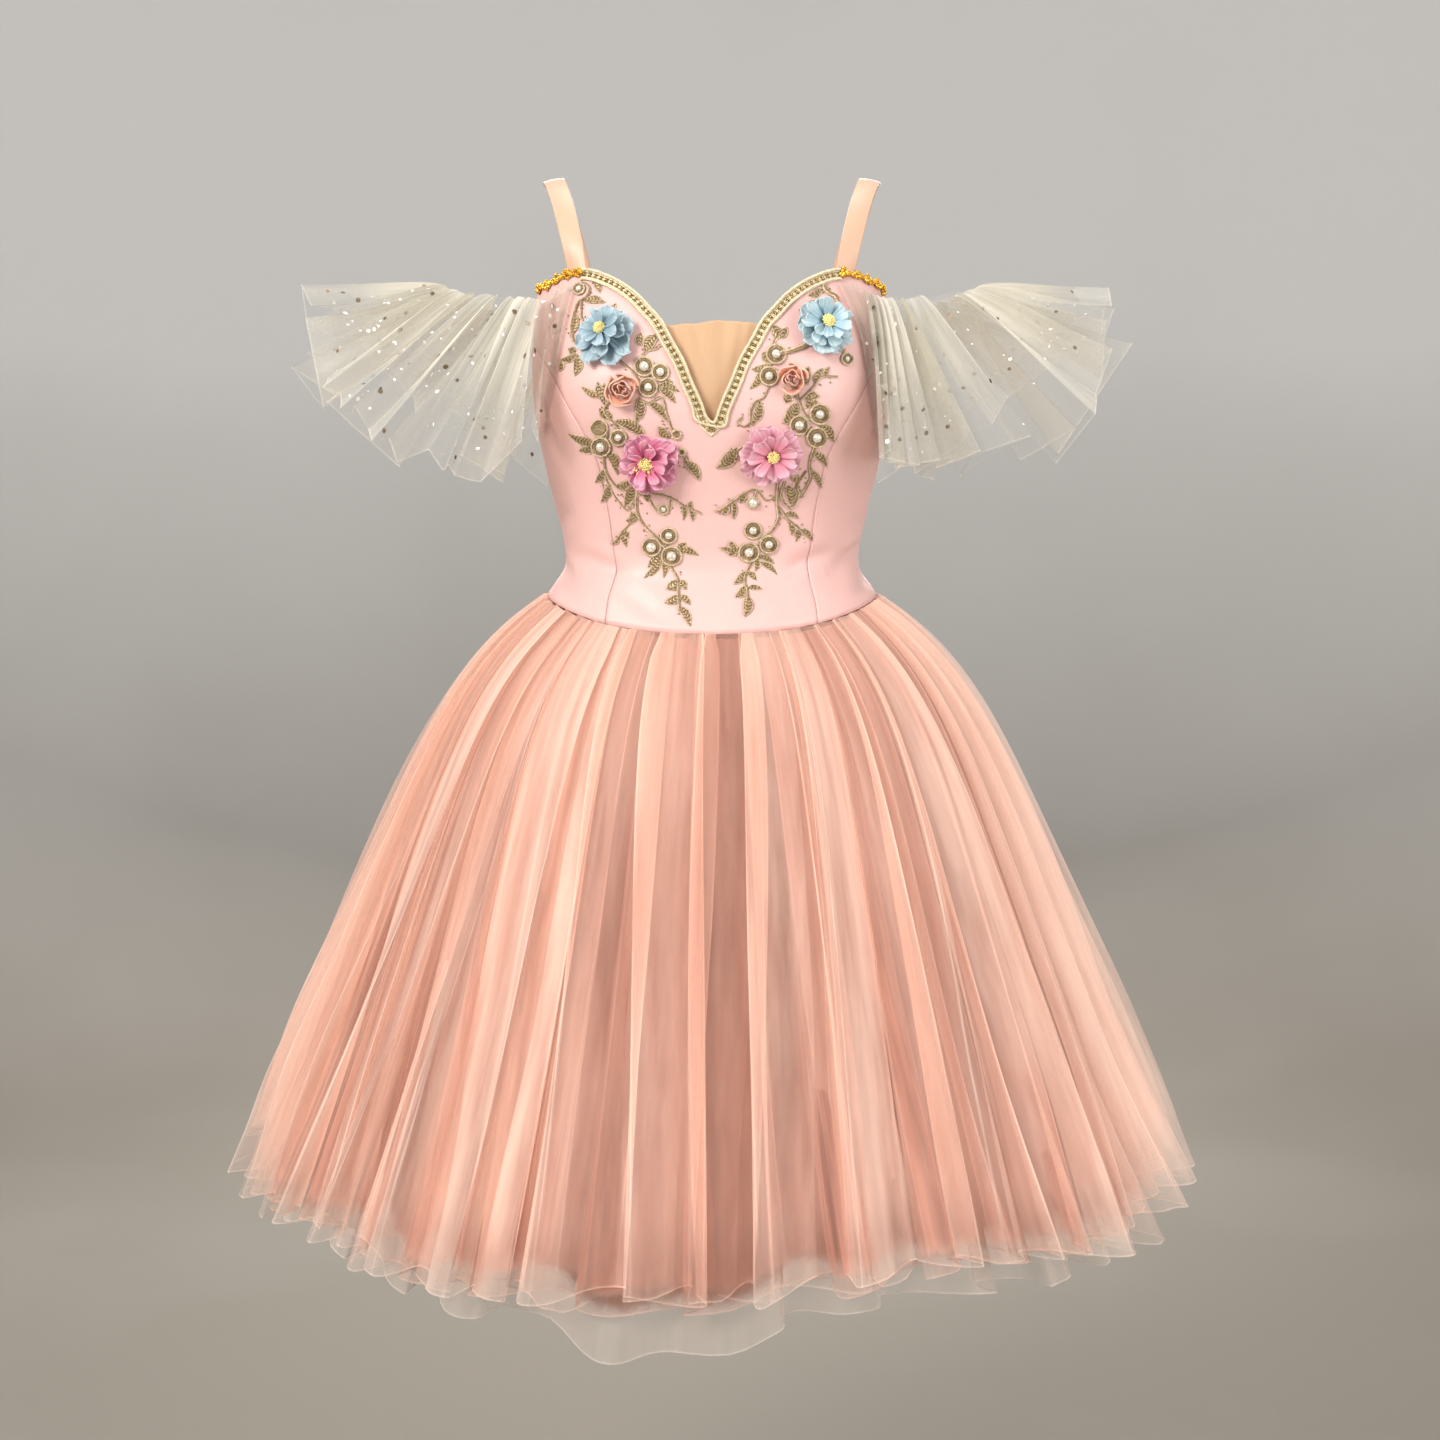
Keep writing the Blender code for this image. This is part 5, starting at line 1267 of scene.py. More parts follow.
def makeBraid():
    points, uv = braidBand()
    gridPiece("neck_braid_band", points, uv, creamThread, "gold_braid", ("neck_braid",), braid["thickness"],
              flip=True)
    cords, beads, stones = Bundle(), Bundle(), Bundle()
    for share in braid["cordsAt"]:
        line = points[0] * (1 - share) + points[-1] * share
        line = smoothPath(withoutRepeats(line)[::3], braid["cordStep"])
        normals = frontNormal(line[:, 0], line[:, 2])
        twistedCord(cords, line + normals * braid["cordLift"], normals, braid["cord"], braid["twist"], 6)
    cords.piece("neck_braid_cords", creamThread, "gold_braid", ("neck_braid",))
    random = np.random.default_rng(8)
    middle = withoutRepeats(points[0] * 0.5 + points[-1] * 0.5)
    distance = lengthAlong(middle)
    count = int(distance[-1] / braid["spacing"])
    at = (np.arange(count) + 0.5) * distance[-1] / count
    places = np.stack([np.interp(at, distance, middle[:, k]) for k in range(3)], axis=-1)
    along = unit(np.gradient(places, axis=0))
    normals = frontNormal(places[:, 0], places[:, 2])
    (stoneAlong, stoneAcross, stoneLift), (smallAcross, smallLift) = braid["stoneAt"], braid["smallBeadAt"]
    for place, run, cross, normal in zip(places, along, np.cross(along, normals), normals):
        # four stones round a bead, and two small beads before the next four
        for a, b in ((-1, -1), (1, -1), (-1, 1), (1, 1)):
            spot = place + run * a * stoneAlong + cross * b * stoneAcross + normal * stoneLift
            size = braid["stone"] * random.uniform(0.85, 1.1)
            stones.add(*ballShape(spot, normal, size, 5, 7, 0.8))
        beads.add(*ballShape(place + normal * braid["beadLift"], normal, braid["bead"], 5, 7))
        for b in (-1, 1):
            spot = place + run * braid["spacing"] / 2 + cross * b * smallAcross + normal * smallLift
            beads.add(*ballShape(spot, normal, braid["smallBead"], 4, 6))
    stones.piece("neck_braid_stones", bronzeStone, "gold_braid", ("neck_braid",))
    beads.piece("neck_braid_beads", goldBead, "gold_beads", ("neck_braid",))


makeBraid()

beadEdge = {
    "beads": 104, "size": (0.0010, 0.0020), "band": 0.0078, "rise": 0.0012, "pile": 0.0016, "clusters": 4.5,
    "seed": 12,
}


def makeBeadEdging():
    for side, label in ((1, "left"), (-1, "right")):
        random = np.random.default_rng(beadEdge["seed"] + side)
        bundle = Bundle()
        for i in range(beadEdge["beads"]):
            share = (i + random.uniform(0.1, 0.9)) / beadEdge["beads"]
            turn = apexTurn - 1.0 + (trimEndTurn - apexTurn) * share
            cluster = 0.60 + 0.40 * math.sin(share * 2 * math.pi * beadEdge["clusters"])
            below = beadEdge["band"] * (0.5 + random.uniform(-0.5, 0.5) * cluster)
            height = float(topHeight(turn)) - below + beadEdge["rise"]
            size = random.uniform(*beadEdge["size"])
            lift = satinWall + size * 0.6 + random.uniform(0, beadEdge["pile"]) * cluster
            spot = onBody(side * turn, height, lift)
            bundle.add(*ballShape(spot, formNormal(side * turn, height), size, 6, 9))
        bundle.piece(f"bead_trim_{label}_beads", goldBead, "gold_beads", (f"bead_trim_{label}",))


makeBeadEdging()
print("straps, insert and trims made")


# Corded motifs, in millimetres: cords as (width, points), leaves as (x, height, tipX, tipHeight, width),
# cups as (x, height, radius, pearl radius)

motifs = {
    "right": {
        "cords": (
            (2.3, ((-102, -90), (-101, -85), (-95, -84), (-91, -88), (-93, -94), (-99, -98), (-102, -106),
                  (-104, -117), (-102, -127), (-95, -135))),
            (2.0, ((-97, -97), (-97, -105), (-95, -113), (-83, -126), (-68, -142), (-59, -150), (-52, -159),
                  (-47, -162))),
            (2.3, ((-53, -140), (-50, -147), (-44, -149), (-38, -151))),
            (2.0, ((-51, -139), (-47, -135), (-42, -134), (-38, -131))),
            (1.7, ((-53, -171), (-46, -173), (-38, -169), (-35, -173), (-34, -179), (-32, -185),
                  (-29, -193), (-26, -199))),
            (2.3, ((-66, -161), (-74, -170), (-79, -178), (-74, -186), (-69, -192), (-69, -197))),
            (2.0, ((-84, -191), (-77, -195), (-82, -204))),
            (2.3, ((-79, -205), (-80, -216), (-78, -225), (-72, -234), (-66, -237), (-58, -232))),
            (1.7, ((-80, -226), (-75, -238), (-69, -247), (-63, -253), (-59, -249), (-56, -240))),
            (2.4, ((-54, -231), (-56, -246), (-55, -256), (-50, -265), (-42, -273), (-36, -280),
                  (-30, -289))),
            (1.8, ((-56, -259), (-62, -264), (-68, -271), (-74, -279))),
            (1.8, ((-45, -281), (-38, -280), (-33, -272))),
            (1.8, ((-56, -241), (-45, -240), (-31, -243), (-21, -249), (-15, -252), (-8, -255))),
            (2.0, ((-46, -245), (-42, -252), (-36, -255), (-31, -252), (-30, -245))),
            (2.1, ((-33, -293), (-28, -301), (-25, -308), (-25, -319), (-24, -330))),
            (1.8, ((-45, -216), (-32, -212), (-20, -212), (-16, -220))),
        ),
        "leaves": (
            (-94, -97, -79, -99, 5), (-102, -106, -105, -124, 5), (-87, -84, -83, -91, 4),
            (-101, -135, -106, -133, 5), (-99, -139, -101, -153, 6), (-100, -138, -113, -141, 4),
            (-111, -142, -113, -149, 4), (-76, -113, -71, -100, 5), (-49, -135, -39, -123, 7),
            (-53, -131, -52, -122, 5), (-40, -161, -24, -165, 5), (-38, -163, -27, -173, 5),
            (-35, -159, -29, -158, 4), (-46, -173, -32, -187, 5), (-32, -198, -39, -190, 6),
            (-79, -171, -84, -158, 5), (-81, -168, -96, -161, 4), (-79, -174, -79, -159, 4),
            (-74, -183, -83, -177, 6), (-53, -170, -56, -187, 6), (-70, -186, -48, -199, 7),
            (-84, -202, -107, -195, 6), (-86, -203, -99, -208, 6), (-77, -208, -70, -226, 6),
            (-80, -223, -87, -232, 5), (-76, -234, -83, -247, 5), (-60, -233, -65, -250, 7),
            (-60, -231, -71, -234, 5), (-56, -258, -64, -261, 5), (-57, -259, -60, -254, 4),
            (-67, -269, -62, -274, 5), (-68, -272, -64, -281, 4), (-70, -275, -75, -279, 3),
            (-50, -237, -48, -246, 6), (-21, -249, -21, -260, 3), (-16, -252, -14, -261, 3),
            (-16, -252, -15, -246, 3), (-27, -283, -10, -287, 5), (-25, -282, -19, -278, 4),
            (-40, -286, -48, -297, 6), (-39, -290, -51, -306, 5), (-36, -291, -36, -305, 4),
            (-26, -308, -34, -314, 6), (-25, -308, -19, -314, 5), (-25, -319, -35, -324, 5),
            (-24, -319, -16, -325, 4), (-24, -327, -16, -341, 5), (-19, -216, -9, -230, 6),
        ),
        "cups": (
            (-99, -88, 4.5, 2.7), (-50, -147, 7.3, 4.2), (-38, -151, 6.5, 3.6), (-47, -162, 7.0, 3.6),
            (-83, -191, 6.5, 0), (-69, -198, 6.2, 3.3), (-82, -205, 7.4, 4.2), (-32, -272, 6.2, 3.3),
            (-45, -281, 7.3, 4.4), (-30, -288, 7.9, 4.4), (-26, -196, 3.5, 0), (-36, -252, 3.9, 2.4),
            (-22, -209, 2.7, 0),
        ),
    },
    "left": {
        "cords": (
            (3.5, ((85, -83), (84, -88), (88, -92), (92, -94), (94, -99), (92, -107), (87, -116),
                  (75, -127), (66, -133), (57, -136), (48, -138))),
            (2.0, ((47, -140), (44, -146), (43, -154))),
            (2.0, ((46, -134), (47, -128), (51, -124))),
            (1.8, ((43, -161), (39, -169), (32, -173), (29, -180), (29, -187), (24, -190), (20, -187),
                  (23, -184))),
            (2.3, ((60, -157), (64, -168), (67, -177), (72, -184), (78, -181))),
            (2.1, ((70, -183), (68, -188), (65, -189))),
            (2.0, ((66, -189), (72, -192), (78, -198))),
            (1.8, ((66, -171), (75, -162), (80, -155), (85, -154), (93, -154))),
            (2.0, ((87, -119), (95, -131), (100, -141))),
            (2.3, ((78, -201), (75, -210), (73, -219), (74, -228), (70, -237), (65, -243))),
            (2.0, ((55, -231), (52, -241), (56, -250), (62, -249), (65, -241), (64, -234), (71, -223))),
            (2.4, ((50, -228), (49, -246), (50, -258), (46, -267), (38, -274), (33, -281), (28, -285))),
            (2.0, ((51, -251), (57, -260), (65, -267), (75, -276))),
            (2.0, ((31, -268), (36, -274), (43, -279))),
            (1.8, ((50, -240), (41, -245), (34, -237), (24, -240), (16, -246), (9, -251), (3, -254))),
            (1.7, ((34, -237), (31, -247))),
            (2.1, ((31, -291), (26, -301), (25, -308), (27, -315), (27, -322))),
            (1.8, ((42, -210), (29, -204), (19, -208), (14, -212))),
        ),
        "leaves": (
            (82, -89, 72, -94, 5), (76, -98, 65, -105, 4), (54, -125, 45, -116, 7), (53, -125, 56, -118, 5),
            (44, -143, 38, -136, 5), (43, -146, 30, -149, 5), (38, -150, 29, -163, 5),
            (36, -173, 30, -189, 6), (70, -159, 72, -147, 6), (77, -159, 82, -148, 4),
            (84, -154, 87, -147, 3), (73, -168, 70, -177, 5), (70, -170, 80, -168, 5),
            (72, -173, 80, -176, 5), (63, -174, 53, -188, 8), (57, -167, 55, -173, 6),
            (81, -189, 91, -201, 6), (76, -209, 86, -220, 5), (74, -223, 82, -236, 4),
            (67, -229, 59, -228, 4), (58, -235, 59, -248, 7), (56, -255, 65, -259, 4),
            (59, -261, 60, -272, 4), (65, -266, 63, -277, 4), (67, -268, 76, -276, 4),
            (24, -240, 21, -247, 4), (16, -246, 14, -246, 4), (12, -249, 8, -256, 4),
            (16, -246, 16, -259, 3), (23, -282, 6, -281, 4), (18, -282, 14, -276, 4),
            (18, -283, 13, -287, 4), (35, -288, 47, -294, 4), (37, -293, 49, -303, 4),
            (34, -290, 33, -300, 4), (25, -301, 17, -310, 5), (27, -301, 34, -308, 4),
            (26, -312, 18, -320, 5), (28, -313, 38, -314, 4), (27, -319, 25, -334, 6),
            (18, -207, 4, -221, 8), (20, -212, 16, -215, 3),
        ),
        "cups": (
            (100, -141, 4.5, 2.6), (48, -138, 7.4, 3.9), (43, -154, 7.1, 3.6), (80, -181, 7.6, 3.8),
            (65, -189, 7.1, 4.2), (78, -198, 7.7, 4.1), (31, -247, 4.5, 4.1), (31, -268, 6.7, 3.5),
            (43, -279, 7.1, 3.5), (28, -285, 7.9, 4.1),
        ),
    },
}
motifLook = {
    "lift": satinWall + 0.0002, "cordStep": 0.0007, "cordRadius": 0.31, "twist": 0.0026, "leafWidth": 0.58,
    "domeHeight": 0.0012, "rim": 0.00060, "pearl": 0.90, "pearlCord": 0.00038, "pearlSink": 0.45,
    # each cup's cord rings: share of its radius, and the cord's own radius
    "rings": ((0.94, 0.00105), (0.66, 0.00065)), "ringLift": 0.0012, "floorLift": 0.0004,
    "floorRise": 0.0006, "pearlCordLift": 0.0009, "pearlCordTwist": 0.0016, "leafBend": 0.10,
    "rimLift": 0.0003,
    # loose knots: how far apart, how far they stray and their size
    "knotStep": 0.0026, "knotStray": 0.0028, "knotSize": (0.0005, 0.0010),
}
cupFloor = threadMaterial("cupFloor", (0.520, 0.380, 0.210), (0.240, 0.160, 0.075), 0.15, pitch=3200.0)


def layCord(bundle, x, height, lift, radius, twist=motifLook["twist"], sides=5):
    twistedCord(bundle, onFront(x, height, lift), frontNormal(x, height), radius, twist, sides)


def ringAt(x, height, radius, count):
    a = np.linspace(0, 2 * math.pi, count + 1)
    return x + radius * np.cos(a), height + radius * np.sin(a)


def addLeaf(bundle, cords, leaf, lift):
    x, height, tipX, tipHeight, width = np.array(leaf, float) / 1000
    run = np.array((tipX - x, tipHeight - height))
    length = np.hypot(*run)
    across = np.array((-run[1], run[0])) / length
    s, t = np.meshgrid(np.linspace(-0.06, 1, 12), np.linspace(-1, 1, 9), indexing="ij")
    half = width * motifLook["leafWidth"] * np.sin(np.clip(s + 0.03, 0, 1) ** 0.85 * math.pi) ** 0.75
    bend = motifLook["leafBend"] * length * np.sin(s * math.pi)
    px = x + run[0] * s + across[0] * (t * half + bend)
    pz = height + run[1] * s + across[1] * (t * half + bend)
    # domed to each side of a sunk midrib
    dome = motifLook["domeHeight"] * (1 - t**2) * (1 - 0.55 * np.exp(-((t / 0.16) ** 2)))
    points = onFront(px, pz, lift + dome)
    bundle.add(points, gridFaces(12, 9), np.stack([np.abs(t) * half, s * length], axis=-1))
    rim = np.concatenate([points[:, 0], points[::-1, -1][1:]])
    normals = frontNormal(rim[:, 0], rim[:, 2])
    rim = rim + normals * motifLook["rimLift"]
    twistedCord(cords, rim, normals, motifLook["rim"], motifLook["twist"], sides=4)


def addCup(cords, rims, floors, pearls, cup, lift):
    # Cord rings round a stitched floor, with or without a pearl
    x, height, radius, bead = np.array(cup, float) / 1000
    bead = bead * motifLook["pearl"]
    for share, thick in motifLook["rings"]:
        if not bead or radius * share >= bead:
            bundle = rims if share > 0.8 else cords
            layCord(bundle, *ringAt(x, height, radius * share, 30), lift + motifLook["ringLift"], thick)
    a, r = np.meshgrid(np.arange(20) * 2 * math.pi / 20, np.linspace(0.05, 0.95, 5))
    at = (x + radius * r * np.cos(a), height + radius * r * np.sin(a))
    points = onFront(*at, lift + motifLook["floorLift"] + motifLook["floorRise"] * r)
    floors.add(points, gridFaces(5, 20, wraps=True, flip=True), np.stack([r * radius, a / 40], axis=-1))
    if bead:
        spot = onFront(x, height, lift + bead * motifLook["pearlSink"])
        pearls.add(*ballShape(spot, frontNormal(x, height), bead, 12, 18, 0.85))
        layCord(cords, *ringAt(x, height, bead * 1.12, 20), lift + motifLook["pearlCordLift"],
                motifLook["pearlCord"], motifLook["pearlCordTwist"], 4)


def makeMotif(side):
    motif, lift = motifs[side], motifLook["lift"]
    cords, leaves, floors, pearls, rims = (Bundle() for _ in range(5))
    random = np.random.default_rng(3 + len(side))
    # each cord is two, side by side, in two golds
    for width, points in motif["cords"]:
        line = smoothPath(np.array(points, float) / 1000, motifLook["cordStep"])
        run = unit(np.gradient(line, axis=0))
        across = np.stack([-run[:, 1], run[:, 0]], axis=-1)
        radius = width / 1000 * motifLook["cordRadius"]
        for offset, bundle in ((-0.25, rims), (0.25, cords)):
            x, height = (line + across * offset * width / 1000).T
            layCord(bundle, x, height, lift + radius, radius)
    for leaf in motif["leaves"]:
        addLeaf(leaves, rims, leaf, lift)
    for cup in motif["cups"]:
        addCup(cords, rims, floors, pearls, cup, lift)
    # Loose knots fill in between the cords
    for width, points in motif["cords"]:
        for place in smoothPath(np.array(points, float) / 1000, motifLook["knotStep"])[1:-1]:
            at = place + random.normal(size=2) * motifLook["knotStray"]
            size = random.uniform(*motifLook["knotSize"])
            spot = onFront(*at, lift + motifLook["floorLift"])
            floors.add(*ballShape(spot, frontNormal(*at), size, 4, 6, 0.6))
    node = f"applique_{side}"
    for label, bundle, material in (
        ("cords", cords, goldThread), ("rims", rims, paleGoldThread), ("leaves", leaves, leafThread),
        ("cup_floors", floors, cupFloor), ("pearls", pearls, pearl),
    ):
        bundle.piece(f"{node}_{label}", material, "gold_thread", (node,))


for side in ("right", "left"):
    makeMotif(side)
print("motifs made")


# Cloth flowers

flowers = {
    "blue_right": {
        "x": -0.0760, "height": -0.1265, "radius": 0.0235, "slot": "blue_petals", "heartAt": (-0.004, 0.004),
        "tiers": (
            # petals, first angle in degrees, length, width, rise at the heart, lift of the tip, cupping
            (9, 12, 1.00, 0.62, 0.0020, 0.0025, 0.35), (6, 40, 0.80, 0.55, 0.0060, 0.0050, 0.60),
            (5, 238, 0.64, 0.50, 0.0095, 0.0085, 1.00),
        ),
        "crumple": 1.0, "heart": 0.0046, "seed": 31,
    },
    "blue_left": {
        "x": 0.0820, "height": -0.1195, "radius": 0.0235, "slot": "blue_petals", "heartAt": (0.001, 0.002),
        "tiers": (
            (10, 4, 1.00, 0.60, 0.0022, 0.0030, 0.30), (7, 25, 0.88, 0.56, 0.0058, 0.0045, 0.40),
            (4, 225, 0.70, 0.50, 0.0085, 0.0090, 0.90),
        ),
        "crumple": 0.6, "heart": 0.0050, "seed": 32,
    },
    "pink_right": {
        "x": -0.0445, "height": -0.2160, "radius": 0.0235, "slot": "pink_petals", "heartAt": (-0.003, 0.001),
        "tiers": (
            (8, 10, 1.00, 0.70, 0.0022, 0.0040, 0.40), (7, 35, 0.84, 0.66, 0.0060, 0.0065, 0.70),
            (6, 300, 0.62, 0.60, 0.0095, 0.0095, 1.10),
        ),
        "crumple": 1.1, "heart": 0.0052, "seed": 33, "looseStamens": 34,
    },
    "pink_left": {
        "x": 0.0430, "height": -0.2095, "radius": 0.0240, "slot": "pink_petals", "heartAt": (0.002, -0.001),
        "tiers": (
            (9, 8, 1.00, 0.66, 0.0020, 0.0030, 0.40), (9, 26, 0.76, 0.52, 0.0065, 0.0060, 0.60),
        ),
        "crumple": 0.45, "heart": 0.0046, "seed": 34,
    },
}
flowerLift = 0.0026
# stamens packed in a spiral: how many, the turn from one to the next in radians, and the heart's dome
stamens = {
    "count": 58, "turn": 2.39996, "overPetals": 0.0015, "dome": 0.0024, "size": (0.0005, 0.0009),
    "looseSize": (0.0006, 0.0010), "looseReach": (0.003, 0.0085), "looseRise": 0.003, "looseDrop": 0.004,
}
petalWalls = {"flower": 0.00035, "rose": 0.0005}
roses = {
    "coral_right": {"x": -0.0645, "height": -0.1640, "radius": 0.0130, "petals": 10, "seed": 41},
    "coral_left": {"x": 0.0590, "height": -0.1570, "radius": 0.0120, "petals": 9, "seed": 42},
}
# Heart, middle and tip inks: partly each flower's dye, with the heart darkened as painted shade and the tip
# paled as painted light
petalInks = {
    "blue_right": ((0.120, 0.220, 0.310), (0.380, 0.550, 0.660), (0.640, 0.790, 0.860)),
    "blue_left": ((0.160, 0.300, 0.430), (0.450, 0.670, 0.780), (0.740, 0.890, 0.940)),
    "pink_right": ((0.560, 0.040, 0.170), (0.920, 0.240, 0.440), (1.000, 0.560, 0.700)),
    "pink_left": ((0.620, 0.090, 0.220), (0.940, 0.370, 0.500), (1.000, 0.640, 0.740)),
    "coral": ((1.000, 0.430, 0.280), (1.000, 0.550, 0.400), (1.000, 0.720, 0.580)),
}


def heartFrame(x, height):
    axis = frontNormal(x, height)
    side = unit(np.cross((0.0, 0.0, 1.0), axis))
    return onFront(x, height, satinWall + flowerLift), side, np.cross(axis, side), axis


def petalShape(random, length, width, rise, tip, cupping, crumple):
    # x runs out from the heart, y across the petal and z away from the cloth; the outline is narrow at the
    # heart, widest beyond the middle and round at the tip
    s, t = np.meshgrid(np.linspace(0.04, 1, 12), np.linspace(-1, 1, 11), indexing="ij")
    outline = 0.30 + 0.78 * np.sin(np.clip(s * 0.92, 0, 1) ** 1.25 * math.pi * 0.60) ** 1.1
    half = width * length / 2 * outline
    half = half * np.sqrt(np.clip(1 - (np.clip(s - 0.70, 0, 1) / 0.30) ** 2.6, 0.02, 1))
    notch = random.uniform(0.00, 0.07)
    x = length * (s - notch * np.exp(-((t / 0.35) ** 2)) * s**6 + 0.05 * random.normal() * t * s)
    phases = random.uniform(0, 2 * math.pi, 4)
    ruffle = 0.055 * s**2 * np.sin(t * random.uniform(2.5, 4.5) + phases[0])
    fold = 0.030 * s * np.sin(t * 7 + phases[1]) * np.sin(s * 5 + phases[2])
    sunk = 0.004 * np.exp(-((s / 0.18) ** 2))
    z = rise + tip * s**1.6 + cupping * half * t**2 * 0.9 - sunk + crumple * length * (ruffle + fold)
    y = t * half + crumple * random.normal() * 0.14 * length * s**2
    return np.stack([x, y, np.maximum(z, 0.0002)], axis=-1), np.stack([t * half * 40, s], axis=-1)


def finishPetals(bundle, name, material, slot, thickness):
    node = f"flower_{name}"
    piece = bundle.piece(f"{node}_petals", material, slot, (node,))
    addWall(piece, thickness, 0.0)
    declareCloth(piece)


def makeFlower(name, spec):
    random = np.random.default_rng(spec["seed"])
    origin, side, up, axis = heartFrame(spec["x"], spec["height"])
    heartX, heartY = spec["heartAt"]
    heartPlace = origin + side * heartX + up * heartY

    def around(angle):
        return side * math.cos(angle) + up * math.sin(angle)

    petals, centre = Bundle(), Bundle()
    for count, first, long, wide, rise, lift, cupping in spec["tiers"]:
        step = 360 / count if count > 5 else 34
        for i in range(count):
            angle = math.radians(first + step * i + random.normal() * 4)
            reach = spec["radius"] - (heartX * math.cos(angle) + heartY * math.sin(angle))
            shape, uv = petalShape(
                random, reach * long * random.uniform(0.93, 1.03), wide * random.uniform(0.92, 1.12),
                rise * (0.9 + 0.2 * (i % 2)), lift * random.uniform(0.5, 1.3),
                cupping * random.uniform(0.4, 1.2), spec["crumple"],
            )
            roll = random.normal() * 0.16
            points = heartPlace + shape[..., :1] * around(angle)
            points = points + shape[..., 1:2] * np.cross(axis, around(angle))
            petals.add(points + (shape[..., 2:] + shape[..., 1:2] * roll) * axis, gridFaces(12, 11), uv)
    material = petalMaterial(f"petals_{name}", *petalInks[name])
    finishPetals(petals, name, material, spec["slot"], petalWalls["flower"])
    rise = spec["tiers"][-1][4] + stamens["overPetals"]
    for i in range(stamens["count"]):
        share = i / stamens["count"]
        out, angle = math.sqrt(share) * spec["heart"], i * stamens["turn"]
        spot = heartPlace + around(angle) * out + axis * (rise + stamens["dome"] * (1 - share))
        centre.add(*ballShape(spot, axis, random.uniform(*stamens["size"]), 5, 7, 1.5))
    for i in range(spec.get("looseStamens", 0)):
        angle, out = random.uniform(0, 2 * math.pi), random.uniform(*stamens["looseReach"])
        tall = rise + random.uniform(0.0, stamens["looseRise"])
        spot = heartPlace + around(angle) * out + axis * tall - up * stamens["looseDrop"]
        centre.add(*ballShape(spot, axis, random.uniform(*stamens["looseSize"]), 5, 7, 1.6))
    centre.piece(f"flower_{name}_heart", stamen, spec["slot"], (f"flower_{name}",))


def makeRose(name, spec):
    # Petals rolled in a spiral, opening outwards
    random = np.random.default_rng(spec["seed"])
    origin, side, up, axis = heartFrame(spec["x"], spec["height"])
    size, petals = spec["radius"], Bundle()
    s, t = np.meshgrid(np.linspace(-0.5, 0.5, 19), np.linspace(0, 1, 11), indexing="ij")
    for i in range(spec["petals"]):
        share = i / (spec["petals"] - 1)
        angle = i * 2.45 + random.normal() * 0.4 + s * (2.7 - 1.0 * share)
        base = size * (0.10 + 0.62 * share)
        edge = size * (0.14 + 0.78 * share) * (1 + 0.10 * random.normal() * share)
        # each petal swells out, then closes over a little at the top
        swell = size * 0.20 * (0.3 + share) * np.sin(math.pi * np.clip(t, 0, 0.9))
        ripple = 0.0011 * t * np.sin(s * 8 + i * 2.1)
        radius = base + (edge - base) * t + swell + ripple
        tall = (0.0105 - 0.0048 * share) * (1 - (2 * np.abs(s)) ** 2.4 * 0.45)
        curl = 0.0016 * share * np.clip(t - 0.70, 0, 1) / 0.3
        z = tall * t**0.8 - curl + ripple * 0.8 + 0.0006
        out = side * np.cos(angle)[..., None] + up * np.sin(angle)[..., None]
        points = origin + out * radius[..., None] + axis * z[..., None]
        petals.add(points, gridFaces(19, 11), np.stack([s * 0.2, t], axis=-1))
    finishPetals(petals, name, coralPetal, "coral_petals", petalWalls["rose"])


coralPetal = petalMaterial("petals_coral", *petalInks["coral"], veins=9.0)
for name, spec in flowers.items():
    makeFlower(name, spec)
for name, spec in roses.items():
    makeRose(name, spec)
print("flowers made")


# Floor, light and camera

studio = {
    "floor": -1.30, "flat": 2.1, "bend": 1.1, "wall": 3.0, "world": (0.50, 0.49, 0.475),
    # painted shade: the paper is darkened towards the floor, a little unevenly
    "paper": (0.590, 0.595, 0.598), "low": (0.225, 0.205, 0.180), "lowHeight": -1.30, "highHeight": 0.00,
    "blotchSize": 1.2, "blotch": 0.06,
    # name, place, aimed at, size, watts, colour
    "lights": (
        ("key", (-1.7, -2.2, 1.0), (0.0, 0.0, -0.40), 1.3, 90.0, (1.0, 0.960, 0.905)),
        ("fill", (2.1, -1.8, 0.0), (0.0, 0.0, -0.45), 1.8, 42.0, (1.0, 0.975, 0.940)),
        ("top", (0.0, 0.1, 2.2), (0.0, 0.0, -0.40), 1.6, 30.0, (1.0, 0.98, 0.95)),
        ("back", (0.0, 2.4, 0.3), (0.0, 0.0, -0.40), 1.8, 58.0, (1.0, 0.97, 0.93)),
    ),
}
view = {"place": (0.0064, -1.988, -0.2083), "tilt": 6.16, "lens": 62.5, "sensor": 36.0, "clip": (0.05, 60.0)}


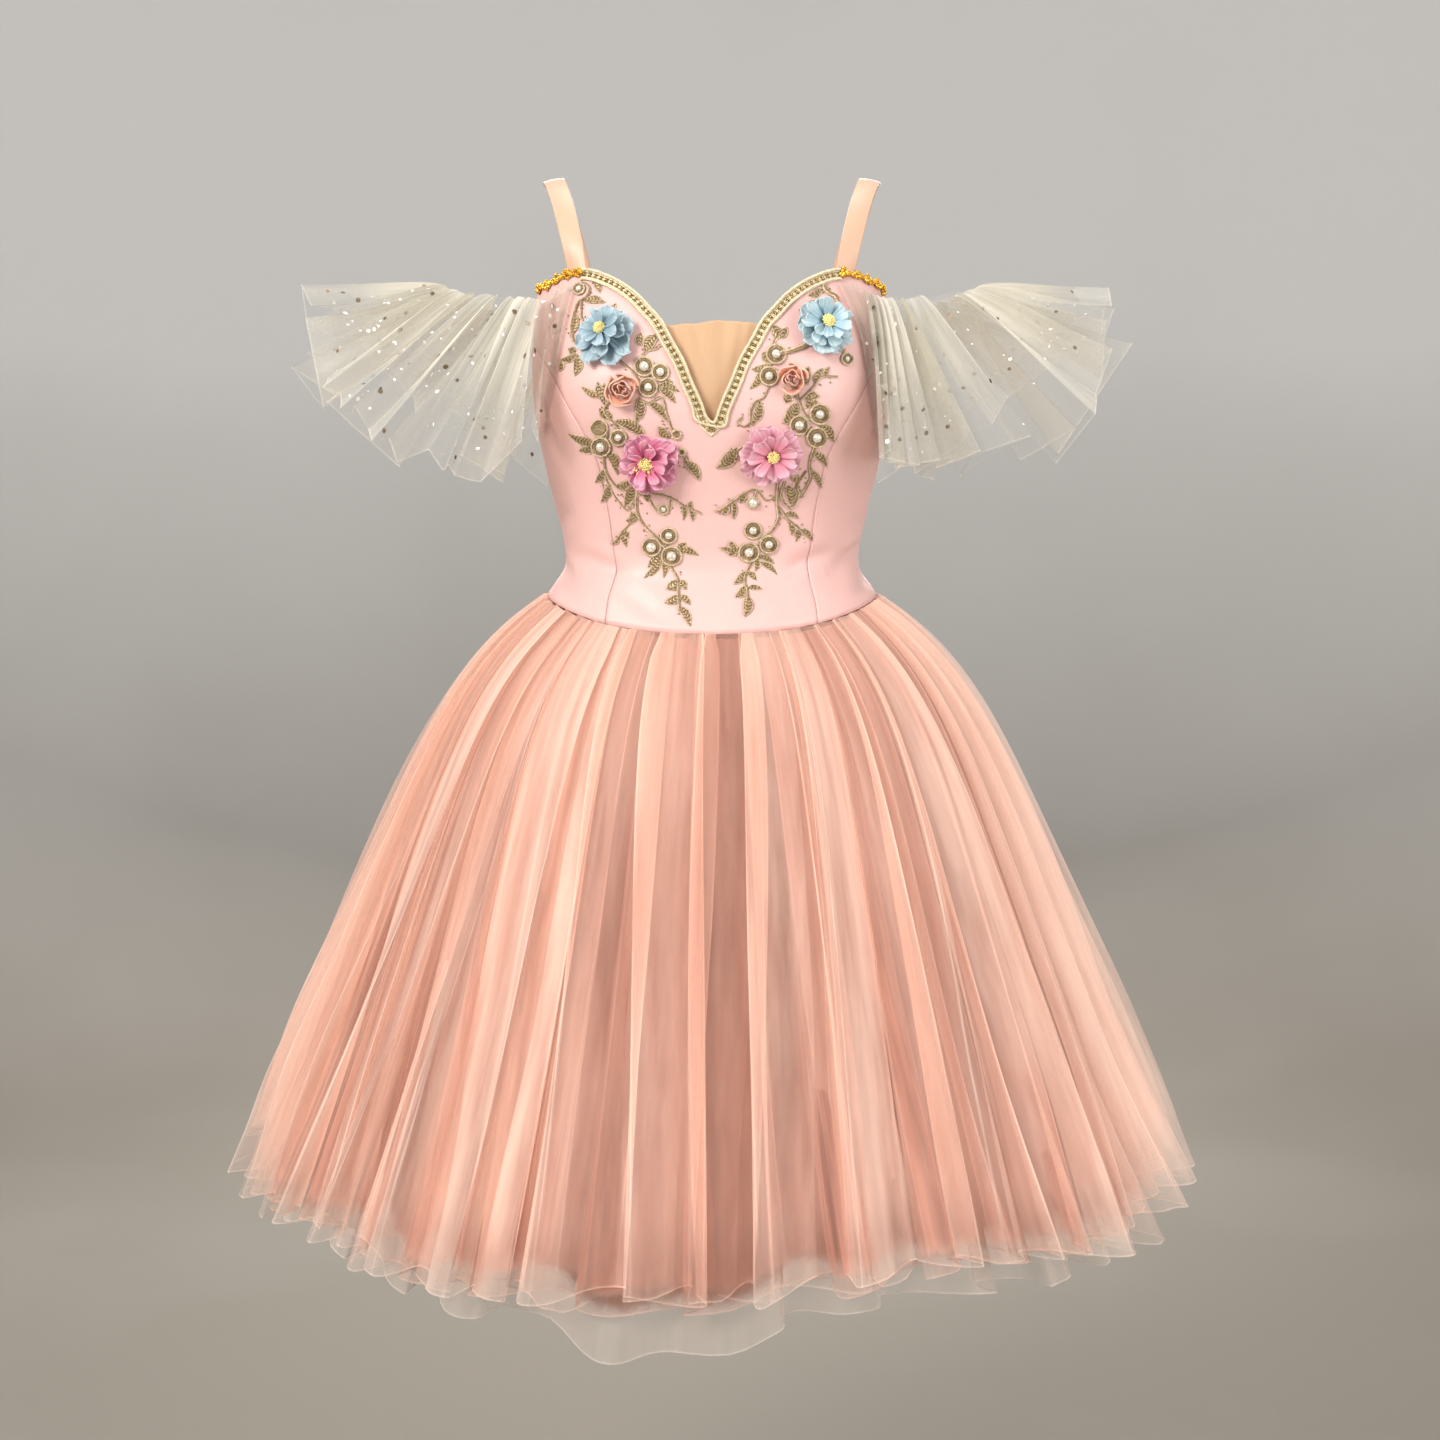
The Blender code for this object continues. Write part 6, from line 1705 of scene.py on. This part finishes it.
def makeStage():
    # A floor that bends up into a round wall, far enough out for a view from any side
    flat, bend = studio["flat"], studio["bend"]
    a = np.linspace(0, math.pi / 2, 14)
    out = np.concatenate([[0.001, 0.7, 1.4], flat + bend * np.sin(a), [flat + bend]])
    up = np.concatenate([[0, 0, 0], bend * (1 - np.cos(a)), [studio["wall"]]]) + studio["floor"]
    turn = np.linspace(0, 2 * math.pi, 96, endpoint=False)
    points = (out[:, None] * np.cos(turn), out[:, None] * np.sin(turn), up[:, None])
    points = np.stack(np.broadcast_arrays(*points), axis=-1).reshape(-1, 3)
    mesh = makeMesh("studio_floor", points, gridFaces(len(out), 96, wraps=True, flip=True))
    material, tree = newMaterial("studioPaper")
    blotch = fillGroup(tree, "blotches", Size=studio["blotchSize"], Seed=6.0)
    blotch = remap(tree, blotch, 0.3, 0.7, -1.0, 1.0)
    place = addNode(tree, "ShaderNodeTexCoord").outputs["Object"]
    height = addNode(tree, "ShaderNodeSeparateXYZ", {0: place}).outputs[2]
    height = remap(tree, height, studio["lowHeight"], studio["highHeight"])
    height = calc(tree, "MULTIPLY_ADD", blotch, studio["blotch"], height, clamp=True)
    # Painted shade: the paper turns to the low colour towards the floor
    face = mixColour(tree, height, studio["low"], studio["paper"])
    mesh.materials.append(showing(material, principled(tree, face, 0.9, Specular_IOR_Level=0.1)))
    floor = addObject("studio_floor", mesh)


def makeLights():
    for name, place, aim, size, watts, tint in studio["lights"]:
        data = bpy.data.lights.new(name, "AREA")
        data.shape, data.size, data.energy, data.color = "DISK", size, watts, tint
        lamp = addObject(name, data)
        lamp.location = place
        lamp.rotation_euler = (Vector(aim) - Vector(place)).to_track_quat("-Z", "Y").to_euler()
    world = bpy.data.worlds.new("studio")
    world.use_nodes = True
    sky = world.node_tree.nodes["Background"].inputs
    sky["Color"].default_value, sky["Strength"].default_value = (*studio["world"], 1.0), 1.0
    bpy.context.scene.world = world


def makeCamera():
    data = bpy.data.cameras.new("camera")
    data.lens, data.sensor_width = view["lens"], view["sensor"]
    data.clip_start, data.clip_end = view["clip"]
    camera = addObject("camera", data)
    camera.location = view["place"]
    camera.rotation_euler = (math.radians(90 - view["tilt"]), 0.0, 0.0)
    bpy.context.scene.camera = camera


makeStage()
makeLights()
makeCamera()
bpy.context.scene.view_settings.view_transform = "Standard"
cycles = bpy.context.scene.cycles
cycles.use_light_tree = cycles.caustics_reflective = cycles.caustics_refractive = False
cycles.max_bounces, cycles.transparent_max_bounces, cycles.light_sampling_threshold = 3, 16, 0.05
